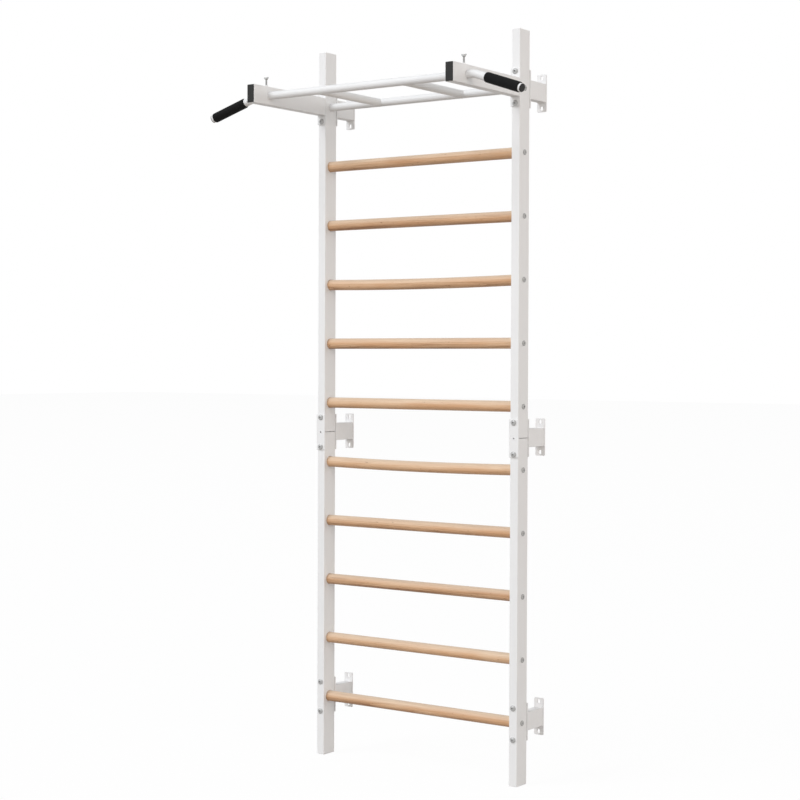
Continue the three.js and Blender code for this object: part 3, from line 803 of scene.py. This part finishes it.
class WALLBARS_OT_uprights(bpy.types.Operator):
    """Build both uprights, each in two lengths, with their seam plates and end plugs"""

    bl_idname = "wallbars.uprights"
    bl_label = "Uprights"

    def execute(self, context):
        settings = context.scene.wall_bars
        steel = settings.steel
        coat = finish_of("powder_coat")
        for side in SIDES:
            for part in ("lower", "upper"):
                node = f"{side}_{part}_post"
                name = f"{side}_{part}_upright"
                mesh = form(name, [upright_tube(node, side, settings)], coat)
                add_piece(name, mesh, "frame", [node])
            for end in ("foot", "top"):
                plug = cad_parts[f"{side}_post_{end}_plug"]
                plug.material_slots[0].material = finish_of("pale_plastic")
            node = f"{side}_splice_plate"
            box = NodeBox(node)
            bolts = bolt_boxes(side, "middle")
            cutters = plate_holes(bolts, box.middle.z, settings.fasteners.bolt / 2, 2 * steel.plate)
            cutters.append(bar(steel.seam_hole / 2, -0.01 * Y_AXIS, 0.01 * Y_AXIS))
            plate = cut(flat_plate(steel, steel.plate_corner), cutters)
            mesh = form(f"{side}_seam_plate", [plate], coat)
            place = Matrix.Translation((box.middle.x, box.high.y, box.middle.z))
            add_piece(f"{side}_seam_plate", mesh, "frame", [node], place)
        return {"FINISHED"}


def rung_bar(box, sag, end_round):
    """Turned rung along X, bowed by its sag."""
    half = box.size.x / 2
    stations = [(rise - half, RUNG_RADIUS - inset) for rise, inset in eased(box.size.x, end_round)]
    middle = len(stations) // 2
    steps = 24
    inner = half - 2 * end_round
    straight = [(inner * (2 * i / steps - 1), RUNG_RADIUS) for i in range(steps + 1)]
    stations[middle:middle] = straight
    rings = []
    for x, radius in stations:
        drop = sag * (1 - (x / half) ** 2)
        centre = Vector((x, box.middle.y, box.middle.z - drop))
        rings.append([centre + Vector((0, c.x, c.y)) for c in circle(radius, ROUND_FACETS)])
    return skin(rings)


class WALLBARS_OT_rungs(bpy.types.Operator):
    """Build the ten turned wooden rungs"""

    bl_idname = "wallbars.rungs"
    bl_label = "Rungs"

    def execute(self, context):
        wood = context.scene.wall_bars.rungs
        finish = finish_of("turned_wood")
        bowed = (RUNGS[4], RUNGS[7])
        for node in RUNGS:
            sag = wood.sag if node in bowed else 0.0
            name = f"turned_{node}"
            mesh = form(name, [rung_bar(NodeBox(node), sag, wood.end_round)], finish)
            add_piece(name, mesh, "frame", [node])
        return {"FINISHED"}


def wall_bracket(side, place, settings):
    """Welded bracket about the middle of its wall plate's back."""
    steel = settings.steel
    fasteners = settings.fasteners
    box = NodeBox(f"{side}_{place}_wall_bracket")
    bolts = bolt_boxes(side, place)
    reach = box.size.y - steel.plate
    levels = [bolt.middle.z - box.middle.z for bolt in bolts]
    wall_cutters = []
    for sign in (1, -1):
        level = sign * (box.size.z / 2 - steel.slot_edge - steel.slot_length / 2)
        cutter = moved(slot(steel.slot_width, steel.slot_length, 4 * steel.plate), FORWARD)
        wall_cutters.append(moved(cutter, Matrix.Translation((0, 2 * steel.plate, level))))
    wall_plate = cut(flat_plate(steel, steel.ear_corner), wall_cutters)
    post_cutters = plate_holes(bolts, box.middle.z, fasteners.bolt / 2, 2 * steel.plate)
    post_cutters.append(bar(steel.vent / 2, -0.01 * Y_AXIS, 0.01 * Y_AXIS))
    post_plate = cut(flat_plate(steel, steel.plate_corner), post_cutters)
    moved(post_plate, Matrix.Translation((0, -reach, 0)))
    box_tube = moved(hollow_block(POST.size.x, POST.size.y, reach - steel.plate, steel), FORWARD)
    moved(box_tube, Matrix.Translation((0, -steel.plate, 0)))
    shells = [wall_plate, post_plate, box_tube]
    outline = walk(rounded_rect(POST.size.x, POST.size.y, steel.corner), 144)
    for depth in (steel.plate, reach):
        loop = [FORWARD @ place_on for place_on in lifted(outline, depth)]
        shells.append(bead(loop, Vector((0, -depth, 0)), steel.weld))
    for level in levels:
        nut = moved(hexagon(fasteners.nut, fasteners.nut_height, 0.0006), facing(Y_AXIS, (0, -reach, level)))
        shells.append(cut(nut, [bar(fasteners.bolt / 2, (0, -reach - 0.01, level), (0, 0, level))]))
    return shells


class WALLBARS_OT_brackets(bpy.types.Operator):
    """Build the six welded wall brackets"""

    bl_idname = "wallbars.brackets"
    bl_label = "Wall Brackets"

    def execute(self, context):
        settings = context.scene.wall_bars
        mesh = form("wall_bracket", wall_bracket("left", "foot", settings), finish_of("powder_coat"))
        for side in SIDES:
            for place in PLACES:
                node = f"{side}_{place}_wall_bracket"
                box = NodeBox(node)
                spot = Matrix.Translation((box.middle.x, box.high.y, box.middle.z))
                add_piece(f"{side}_{place}_bracket", mesh, "frame", [node], spot)
        return {"FINISHED"}


class WALLBARS_OT_bolts(bpy.types.Operator):
    """Build the twelve domed bolts of the brackets"""

    bl_idname = "wallbars.bolts"
    bl_label = "Bracket Bolts"

    def execute(self, context):
        fasteners = context.scene.wall_bars.fasteners
        zinc = finish_of("zinc_plate")
        for place in PLACES:
            box = bolt_boxes("left", place)[0]
            reach = box.size.y - fasteners.bolt_head
            screw = domed_screw(
                box.size.x, fasteners.bolt_head, fasteners.bolt_socket, fasteners.bolt - 0.0002, reach
            )
            mesh = form(f"{place}_domed_bolt", [screw], zinc)
            for side in SIDES:
                for level in LEVELS:
                    node = f"{side}_{place}_{level}_bolt"
                    box = NodeBox(node)
                    seat = Vector((box.middle.x, box.low.y + fasteners.bolt_head, box.middle.z))
                    name = f"{side}_{place}_{level}_domed_bolt"
                    add_piece(name, mesh, "frame", [node], facing(-Y_AXIS, seat))
        return {"FINISHED"}


class WALLBARS_OT_rung_screws(bpy.types.Operator):
    """Build the domed screws in the uprights' outer sides"""

    bl_idname = "wallbars.rung_screws"
    bl_label = "Rung Screws"

    def execute(self, context):
        fasteners = context.scene.wall_bars.fasteners
        screw = domed_screw(
            fasteners.screw_head,
            fasteners.screw_head_height,
            fasteners.screw_socket,
            fasteners.screw - 0.0004,
            fasteners.screw_grip,
        )
        mesh = form("rung_screw", [screw], finish_of("zinc_plate"))
        heights = {f"{rung}_screw": NodeBox(rung).middle.z for rung in RUNGS}
        heights["rear_bar_screw"] = REAR_BAR.middle.z
        for side, sign in SIDES.items():
            box = NodeBox(f"{side}_upper_post")
            face = box.middle.x + sign * box.size.x / 2
            for i, (name, height) in enumerate(heights.items()):
                spot = facing(sign * X_AXIS, (face, box.middle.y, height))
                spun = spot @ Matrix.Rotation(2.4 * i, 4, "Z")
                add_piece(f"{side}_{name}", mesh, "frame", (), spun)
        return {"FINISHED"}


def pull_up_arm(side, settings):
    """Arm tube welded to its mount plate, with the nut for the wing screw and the hole for the handle."""
    steel = settings.steel
    fasteners = settings.fasteners
    box = NodeBox(f"{side}_pull_up_arm")
    sign = SIDES[side]
    origin = Vector((box.middle.x, box.high.y, REAR_BAR.middle.z))
    reach = box.size.y - steel.plate
    bolts = bolt_boxes(side, "top")
    axis = Vector((0, FRONT_BAR.middle.y - origin.y, 0))
    top = POST.size.y / 2
    tube = moved(hollow_block(POST.size.x, POST.size.y, reach, steel), FORWARD)
    moved(tube, Matrix.Translation((0, -steel.plate, 0)))
    nut_bore = bar(fasteners.wing_screw / 2, axis, axis + 2 * top * Z_AXIS)
    handle_hole = bar(BAR_RADIUS + 0.0003, axis, axis + sign * POST.size.x * X_AXIS, ROUND_FACETS)
    neck_hole = bar(BAR_RADIUS - steel.bar_wall, axis, axis - sign * POST.size.x * X_AXIS, ROUND_FACETS)
    tube = cut(tube, [nut_bore, handle_hole, neck_hole])
    holes = plate_holes(bolts, origin.z, fasteners.bolt / 2, 2 * steel.plate)
    plate = cut(flat_plate(steel, steel.plate_corner), holes)
    nut = hexagon(fasteners.wing_nut, fasteners.wing_nut_height, 0.0005)
    moved(nut, Matrix.Translation(axis + top * Z_AXIS))
    nut = cut(nut, [bar(fasteners.wing_screw / 2, axis, axis + 2 * top * Z_AXIS)])
    outline = walk(rounded_rect(POST.size.x, POST.size.y, steel.corner), 144)
    loop = [FORWARD @ place for place in lifted(outline, steel.plate)]
    weld = bead(loop, Vector((0, -steel.plate, 0)), steel.weld)
    foot = walk(circle(fasteners.wing_nut * 0.54, ROUND_FACETS), 64)
    nut_centre = axis + top * Z_AXIS
    nut_weld = bead([place + nut_centre for place in foot], nut_centre, steel.weld * 0.6)
    shells = [tube, plate, nut, weld, nut_weld]
    return [moved(shell, Matrix.Translation(origin)) for shell in shells]


def arm_cap(side, settings):
    """Plug of an arm's front end: a flange with a soft edge and the stem inside the tube."""
    box = NodeBox(f"{side}_arm_end_cap")
    steel = settings.steel
    flange = settings.handles.cap_flange
    soft = flange * 0.55
    corner = steel.corner
    rings = []
    for rise, inset in eased(2 * flange, soft)[EASE_STEPS + 1 :]:
        outline = rounded_rect(box.size.x - 2 * inset, box.size.z - 2 * inset, corner - inset)
        rings.append(lifted(outline, rise - flange))
    back = rounded_rect(box.size.x, box.size.z, corner)
    cover = moved(skin([back] + rings), FORWARD)
    width = POST.size.x - 2 * steel.wall - 0.0006
    depth = POST.size.y - 2 * steel.wall - 0.0006
    stem = moved(block(width, depth, box.size.y - flange, 0.001, 0.0004), FORWARD)
    seat = Vector((box.middle.x, box.low.y + flange, box.middle.z))
    moved(cover, Matrix.Translation(seat))
    moved(stem, Matrix.Translation((box.middle.x, box.high.y, box.middle.z)))
    return [cover, stem]


class WALLBARS_OT_arms(bpy.types.Operator):
    """Build the two pull-up arms with their end caps"""

    bl_idname = "wallbars.arms"
    bl_label = "Pull-up Arms"

    def execute(self, context):
        settings = context.scene.wall_bars
        for side in SIDES:
            arm = form(f"{side}_arm", pull_up_arm(side, settings), finish_of("powder_coat"))
            add_piece(f"{side}_arm", arm, "frame", [f"{side}_pull_up_arm"])
            cap = form(f"{side}_arm_cap", arm_cap(side, settings), finish_of("black_moulding"))
            add_piece(f"{side}_arm_cap", cap, "frame", [f"{side}_arm_end_cap"])
        return {"FINISHED"}


def ring_weld(x, box, radius, weld):
    """Weld bead round a cross bar at one of its ends."""
    centre = Vector((x, box.middle.y, box.middle.z))
    loop = [centre + Vector((0, c.x, c.y)) for c in circle(radius, 72)]
    return bead(loop, centre, weld)


def neutral_bar(side, steel):
    """Bar from the rear to the front cross bar, its ends cut to saddle both, with the welds there."""
    box = NodeBox(f"{side}_neutral_grip_tube")
    rings = []
    for radius in (BAR_RADIUS, BAR_RADIUS - steel.bar_wall):
        ends = []
        for axis, sign in ((REAR_BAR.middle.y, -1), (FRONT_BAR.middle.y, 1)):
            ring = []
            for c in circle(radius, ROUND_FACETS):
                saddle = math.sqrt(BAR_RADIUS * BAR_RADIUS - c.y * c.y + 1e-9)
                ring.append(Vector((box.middle.x + c.x, axis + sign * (saddle + 0.0002), box.middle.z + c.y)))
            ends.append(ring)
        rings.append(ends)
    outer, inner = rings
    shells = [skin([outer[0], outer[1], inner[1], inner[0]], looped=True)]
    for ring in outer:
        loop = walk(ring, 96)
        centre = sum(loop, Vector()) / len(loop)
        shells.append(bead(loop, centre, steel.weld * 0.8))
    return shells


class WALLBARS_OT_bars(bpy.types.Operator):
    """Build the front and rear cross bars and the two neutral grip bars"""

    bl_idname = "wallbars.bars"
    bl_label = "Pull-up Bars"

    def execute(self, context):
        steel = context.scene.wall_bars.steel
        coat = finish_of("powder_coat")
        bore = BAR_RADIUS - steel.bar_wall
        front = moved(hollow_bar(BAR_RADIUS, bore, FRONT_BAR.size.x, steel.ease), facing(X_AXIS, (0, 0, 0)))
        moved(front, Matrix.Translation((FRONT_BAR.low.x, FRONT_BAR.middle.y, FRONT_BAR.middle.z)))
        shells = [front]
        for x in (FRONT_BAR.low.x, FRONT_BAR.high.x):
            shells.append(ring_weld(x, FRONT_BAR, BAR_RADIUS, steel.weld))
        mesh = form("front_bar", shells, coat)
        add_piece("front_bar", mesh, "frame", ["front_cross_tube"])
        rear_bore = context.scene.wall_bars.fasteners.screw / 2
        rear = moved(hollow_bar(BAR_RADIUS, rear_bore, REAR_BAR.size.x, steel.ease), facing(X_AXIS, (0, 0, 0)))
        moved(rear, Matrix.Translation((REAR_BAR.low.x, REAR_BAR.middle.y, REAR_BAR.middle.z)))
        mesh = form("rear_bar", [rear], coat)
        add_piece("rear_bar", mesh, "frame", ["rear_cross_tube"])
        for side in SIDES:
            name = f"{side}_neutral_bar"
            mesh = form(name, neutral_bar(side, steel), coat)
            add_piece(name, mesh, "frame", [f"{side}_neutral_grip_tube"])
        return {"FINISHED"}


class HandlePath:
    """Axis of a bent handle from its shoulder: straight along X, an arc that drops, then straight."""

    def __init__(self, handles):
        self.lead = handles.insert + handles.lead
        self.radius = handles.bend_radius
        self.bend = handles.bend
        self.arc = self.radius * self.bend
        self.tail = handles.grip_gap + handles.grip_length + handles.tail
        self.length = self.lead + self.arc + self.tail

    def at(self, run):
        """Place and direction so far along the axis."""
        turn = min(max((run - self.lead) / self.radius, 0.0), self.bend)
        direction = Vector((math.cos(turn), 0, -math.sin(turn)))
        straight = min(run, self.lead)
        beyond = max(run - self.lead - self.arc, 0.0)
        place = Vector((straight, 0, 0)) + beyond * direction
        place += self.radius * Vector((math.sin(turn), 0, math.cos(turn) - 1))
        return place, direction


def handle_place(side, handles):
    """Matrix from a handle's own frame, at its shoulder, to the row frame."""
    arm = NodeBox(f"{side}_pull_up_arm")
    sign = SIDES[side]
    shoulder = arm.middle.x + sign * (POST.size.x / 2 - handles.insert)
    spin = Matrix.Rotation(0 if sign > 0 else math.pi, 4, "Z")
    lean = Matrix.Rotation(-handles.swivel, 4, "X")
    return Matrix.Translation((shoulder, FRONT_BAR.middle.y, FRONT_BAR.middle.z)) @ lean @ spin


def handle_tube(path, settings):
    """Bent tube with a shoulder and a necked shank, in the handle's own frame."""
    handles = settings.handles
    wall = settings.steel.bar_wall
    neck = BAR_RADIUS - wall - handles.neck_gap
    bore = BAR_RADIUS - wall
    ease = settings.steel.ease
    runs = [wall, path.lead]
    runs += [path.lead + path.arc * i / 16 for i in range(1, 17)]
    runs += [path.lead + path.arc + path.tail * i / 4 for i in range(1, 4)]
    outer = [(-handles.shank, neck - ease), (ease - handles.shank, neck), (0, neck), (0, BAR_RADIUS)]
    outer += [(run, BAR_RADIUS) for run in runs]
    outer += [(path.length - ease, BAR_RADIUS), (path.length, BAR_RADIUS - ease)]
    inner = [(path.length, bore)] + [(run, bore) for run in reversed(runs)]
    inner += [(wall, neck - wall), (-handles.shank, neck - wall)]
    rings = []
    for run, radius in outer + inner:
        place, direction = path.at(run)
        up = direction.cross(Y_AXIS)
        rings.append([place + c.x * Y_AXIS + c.y * up for c in circle(radius, ROUND_FACETS)])
    return skin(rings, looped=True)


def grip_sleeve(handles):
    """Rubber sleeve up Z with rounded ends."""
    bore = BAR_RADIUS + 0.0001
    outside = BAR_RADIUS + 0.0003 + handles.grip_thickness
    profile = []
    steps = 6
    for i in range(steps + 1):
        turn = math.pi / 2 * i / steps
        rise = handles.grip_round * (1 - math.cos(turn))
        radius = outside - handles.grip_thickness * 0.8 * (1 - math.sin(turn))
        profile.append((radius, rise))
    profile += [(radius, handles.grip_length - rise) for radius, rise in reversed(profile)]
    return turned(profile + [(bore, handles.grip_length), (bore, 0)], looped=True)


def handle_plug(handles, wall):
    """Round plug up Z, its soft flange on the tube's end at the origin and its stem inside."""
    stem = BAR_RADIUS - wall - 0.0003
    flange = handles.plug_flange
    profile = [(stem - 0.0006, -handles.plug_stem), (stem, 0.0006 - handles.plug_stem), (stem, 0)]
    profile += [(BAR_RADIUS - 0.0002, 0), (BAR_RADIUS, 0.0002)]
    for i in range(7):
        turn = math.pi / 2 * i / 6
        drawn = flange * 0.8 * (1 - math.cos(turn))
        profile.append((BAR_RADIUS - drawn, flange * 0.2 + flange * 0.8 * math.sin(turn)))
    return turned(profile)


class WALLBARS_OT_handles(bpy.types.Operator):
    """Build the two bent outer handles with their rubber grips and end plugs"""

    bl_idname = "wallbars.handles"
    bl_label = "Outer Handles"

    def execute(self, context):
        settings = context.scene.wall_bars
        handles = settings.handles
        path = HandlePath(handles)
        tube = form("bent_handle", [handle_tube(path, settings)], finish_of("powder_coat"))
        grip = form("rubber_grip", [grip_sleeve(handles)], finish_of("grip_rubber"))
        plug = form("handle_plug", [handle_plug(handles, settings.steel.bar_wall)], finish_of("black_moulding"))
        end, direction = path.at(path.length)
        grip_start = end - (handles.tail + handles.grip_length) * direction
        for side in SIDES:
            body = f"{side}_handle"
            place = handle_place(side, handles)
            add_piece(f"{side}_bent_handle", tube, body, [f"{side}_outer_handle"], place)
            sleeve = place @ facing(direction, grip_start)
            add_piece(f"{side}_rubber_grip", grip, body, [f"{side}_handle_grip"], sleeve)
            stop = place @ facing(direction, end)
            add_piece(f"{side}_handle_plug", plug, body, [f"{side}_handle_end_plug"], stop)
        return {"FINISHED"}


def threaded_shank(radius, pitch, reach):
    """Screw thread up Z from its tip."""
    depth = pitch * 0.55
    rings = []
    steps = 6
    count = int(reach / pitch) * steps
    for i in range(count + 1):
        height = reach * i / count
        ring = []
        for j, c in enumerate(circle(1, SCREW_FACETS)):
            phase = (height / pitch - j / SCREW_FACETS) % 1.0
            crest = 1 - abs(2 * phase - 1)
            taper = min(1.0, height / (1.5 * pitch))
            ring.append((radius - depth + depth * crest * taper) * c + height * Z_AXIS)
        rings.append(ring)
    return skin(rings)


def wing(span, height, hub_height, thickness):
    """One raised ear towards +X, standing on the XY plane, with soft edges."""
    tip = height * 0.3
    tip_x = span / 2 - tip
    tip_z = height - tip
    start = -0.2 * math.pi
    first = Vector((tip_x + tip * math.cos(start), 0, tip_z + tip * math.sin(start)))
    last = Vector((tip_x - tip * math.cos(start), 0, tip_z - tip * math.sin(start)))
    outline = []
    for i in range(10):
        share = i / 10
        bend = Vector((tip_x * 0.7, 0, 0))
        outline.append(2 * share * (1 - share) * bend + share * share * first)
    for i in range(13):
        turn = start + math.pi * i / 12
        outline.append(Vector((tip_x + tip * math.cos(turn), 0, tip_z + tip * math.sin(turn))))
    for i in range(1, 11):
        share = i / 10
        bend = Vector((tip_x * 0.5, 0, hub_height))
        goal = Vector((0, 0, hub_height))
        outline.append((1 - share) ** 2 * last + 2 * share * (1 - share) * bend + share * share * goal)
    halves = [[place + sign * thickness / 2 * Y_AXIS for place in outline] for sign in (1, -1)]
    ear = skin(halves)
    rims = [edge for edge in ear.edges if abs(edge.verts[0].co.y - edge.verts[1].co.y) < 1e-6]
    bmesh.ops.bevel(ear, geom=rims, offset=thickness * 0.3, segments=3, profile=0.5, affect="EDGES")
    return ear


def wing_screw(box, fasteners):
    """Wing screw up Z from its tip, its ears along X."""
    radius = fasteners.wing_screw / 2
    shank = box.size.z - fasteners.wing_height
    hub_height = fasteners.wing_height * 0.78
    hub = fasteners.wing_hub / 2
    thread = threaded_shank(radius - 0.0002, fasteners.wing_pitch, shank)
    profile = [(hub * 0.82, 0), (hub, 0.0008), (hub * 0.94, hub_height * 0.8), (hub * 0.8, hub_height * 1.05)]
    boss = moved(turned(profile, SCREW_FACETS), Matrix.Translation((0, 0, shank)))
    shells = [thread, boss]
    for turn in (0, math.pi):
        ear = wing(box.size.x, fasteners.wing_height, hub_height, fasteners.wing_thickness)
        lift = Matrix.Translation((0, 0, shank))
        shells.append(moved(ear, lift @ Matrix.Rotation(turn, 4, "Z")))
    return shells


class WALLBARS_OT_wing_screws(bpy.types.Operator):
    """Build the two wing screws that clamp the handles"""

    bl_idname = "wallbars.wing_screws"
    bl_label = "Wing Screws"

    def execute(self, context):
        fasteners = context.scene.wall_bars.fasteners
        box = NodeBox("left_wing_screw")
        mesh = form("wing_screw", wing_screw(box, fasteners), finish_of("zinc_plate"))
        for side in SIDES:
            box = NodeBox(f"{side}_wing_screw")
            place = Matrix.Translation((box.middle.x, box.middle.y, box.low.z))
            body = f"{side}_clamp_screw"
            add_piece(f"{side}_clamp_wing_screw", mesh, body, [f"{side}_wing_screw"], place)
        return {"FINISHED"}


# Stage


def add_lamp(name, place, target, power, size, tint):
    """Square soft light that looks at a place."""
    lamp = bpy.data.lights.new(name, "AREA")
    lamp.shape = "SQUARE"
    lamp.size = size
    lamp.energy = power
    lamp.color = tint[:3]
    holder = bpy.data.objects.new(name, lamp)
    bpy.context.scene.collection.objects.link(holder)
    holder.location = place
    holder.rotation_euler = (Vector(target) - Vector(place)).to_track_quat("-Z", "Y").to_euler()


def seen_directly(shader):
    """1 for rays from the camera and for what gloss and glass show, 0 for light."""
    rays = shader.node("ShaderNodeLightPath", output="Is Camera Ray")
    seen = rays + rays.output("Is Glossy Ray") + rays.output("Is Transmission Ray")
    return seen.math("MINIMUM", seen, 1.0)


def light_world(studio):
    """White to look at, and a soft sky to light by that is brighter all round than above."""
    world = bpy.data.worlds.new("studio")
    world.use_nodes = True
    bpy.context.scene.world = world
    shader = Shader(world.node_tree)
    way = shader.node("ShaderNodeTexCoord", output="Generated")
    rise = shader.node("ShaderNodeSeparateXYZ", None, {"Vector": way}, "Z")
    above = rise.math("MAXIMUM", rise, 0.0)
    level = studio.horizon + (studio.sky - studio.horizon) * above
    lit = shader.node("ShaderNodeBackground", None, {"Color": WHITE, "Strength": level})
    shown = shader.node("ShaderNodeBackground", None, {"Color": WHITE, "Strength": 1.0})
    both = shader.node("ShaderNodeMixShader", None, {0: seen_directly(shader), 1: lit, 2: shown})
    shader.node("ShaderNodeOutputWorld", None, {"Surface": both})


def add_floor(studio):
    """Pale floor that keeps a faint shadow."""
    floor = bmesh.new()
    bmesh.ops.create_grid(floor, x_segments=8, y_segments=8, size=40.0)
    mesh = bpy.data.meshes.new("floor")
    floor.to_mesh(mesh)
    floor.free()
    plane = bpy.data.objects.new("floor", mesh)
    bpy.context.scene.collection.objects.link(plane)
    plane.location.z = cad_bounds[0].z - 0.0005
    material = bpy.data.materials.new("pale_floor")
    material.use_nodes = True
    shader = Shader(material.node_tree)
    seen = seen_directly(shader)
    matt = shader.node("ShaderNodeBsdfDiffuse", None, {"Color": shader.mix(seen, studio.floor, WHITE)})
    glow = shader.node("ShaderNodeEmission", None, {"Strength": 1.0})
    both = shader.node("ShaderNodeMixShader", None, {0: studio.floor_glow * seen, 1: matt, 2: glow})
    shader.node("ShaderNodeOutputMaterial", None, {"Surface": both})
    mesh.materials.append(material)


def add_camera(studio):
    """Camera at the photograph's viewing angle."""
    data = bpy.data.cameras.new("camera")
    data.sensor_width = 36.0
    data.lens = studio.lens
    data.shift_y = studio.shift
    camera = bpy.data.objects.new("camera", data)
    bpy.context.scene.collection.objects.link(camera)
    level = math.cos(studio.pitch)
    look = Vector((-math.sin(studio.yaw) * level, math.cos(studio.yaw) * level, math.sin(studio.pitch)))
    right = Vector((math.cos(studio.yaw), math.sin(studio.yaw), 0))
    up = right.cross(look)
    leaning = math.cos(studio.roll) * right + math.sin(studio.roll) * up
    axes = Matrix((leaning, leaning.cross(look), -look)).transposed().to_4x4()
    camera.matrix_world = Matrix.Translation(studio.camera) @ axes
    bpy.context.scene.camera = camera


class WALLBARS_OT_stage(bpy.types.Operator):
    """Set the floor, the soft light and the camera"""

    bl_idname = "wallbars.stage"
    bl_label = "Studio"

    def execute(self, context):
        studio = context.scene.wall_bars.studio
        target = (cad_bounds[0] + cad_bounds[1]) / 2
        add_floor(studio)
        add_lamp("key_light", studio.key, target, studio.key_power, studio.key_size, studio.key_tint)
        add_lamp("fill_light", studio.fill, target, studio.fill_power, studio.fill_size, studio.fill_tint)
        light_world(studio)
        add_camera(studio)
        context.scene.view_settings.view_transform = "Standard"
        return {"FINISHED"}


OPERATORS = (
    WALLBARS_OT_uprights,
    WALLBARS_OT_rungs,
    WALLBARS_OT_brackets,
    WALLBARS_OT_bolts,
    WALLBARS_OT_rung_screws,
    WALLBARS_OT_arms,
    WALLBARS_OT_bars,
    WALLBARS_OT_handles,
    WALLBARS_OT_wing_screws,
    WALLBARS_OT_stage,
)


class WALLBARS_PT_sidebar(bpy.types.Panel):
    """Settings and build steps of the wall bars"""

    bl_idname = "WALLBARS_PT_sidebar"
    bl_label = "Wall Bars"
    bl_space_type = "VIEW_3D"
    bl_region_type = "UI"
    bl_category = "Wall Bars"

    def draw(self, context):
        settings = context.scene.wall_bars
        for group in ("steel", "rungs", "fasteners", "handles", "studio"):
            chosen = getattr(settings, group)
            column = self.layout.box().column()
            column.label(text=group.title())
            for name in chosen.__annotations__:
                column.prop(chosen, name)
        for operator in OPERATORS:
            self.layout.operator(operator.bl_idname)


CLASSES = (
    SteelSettings,
    RungSettings,
    FastenerSettings,
    HandleSettings,
    StudioSettings,
    WallBarsSettings,
    *OPERATORS,
    WALLBARS_PT_sidebar,
)


def register():
    """Adds the classes and the scene's settings."""
    for entry in CLASSES:
        bpy.utils.register_class(entry)
    bpy.types.Scene.wall_bars = PointerProperty(type=WallBarsSettings)


def unregister():
    """Takes the settings and the classes away again."""
    del bpy.types.Scene.wall_bars
    for entry in reversed(CLASSES):
        bpy.utils.unregister_class(entry)


def main():
    """Builds every piece and the stage."""
    register()
    bpy.ops.wallbars.uprights()
    bpy.ops.wallbars.rungs()
    bpy.ops.wallbars.brackets()
    bpy.ops.wallbars.bolts()
    bpy.ops.wallbars.rung_screws()
    bpy.ops.wallbars.arms()
    bpy.ops.wallbars.bars()
    bpy.ops.wallbars.handles()
    bpy.ops.wallbars.wing_screws()
    bpy.ops.wallbars.stage()


if __name__ == "__main__":
    main()
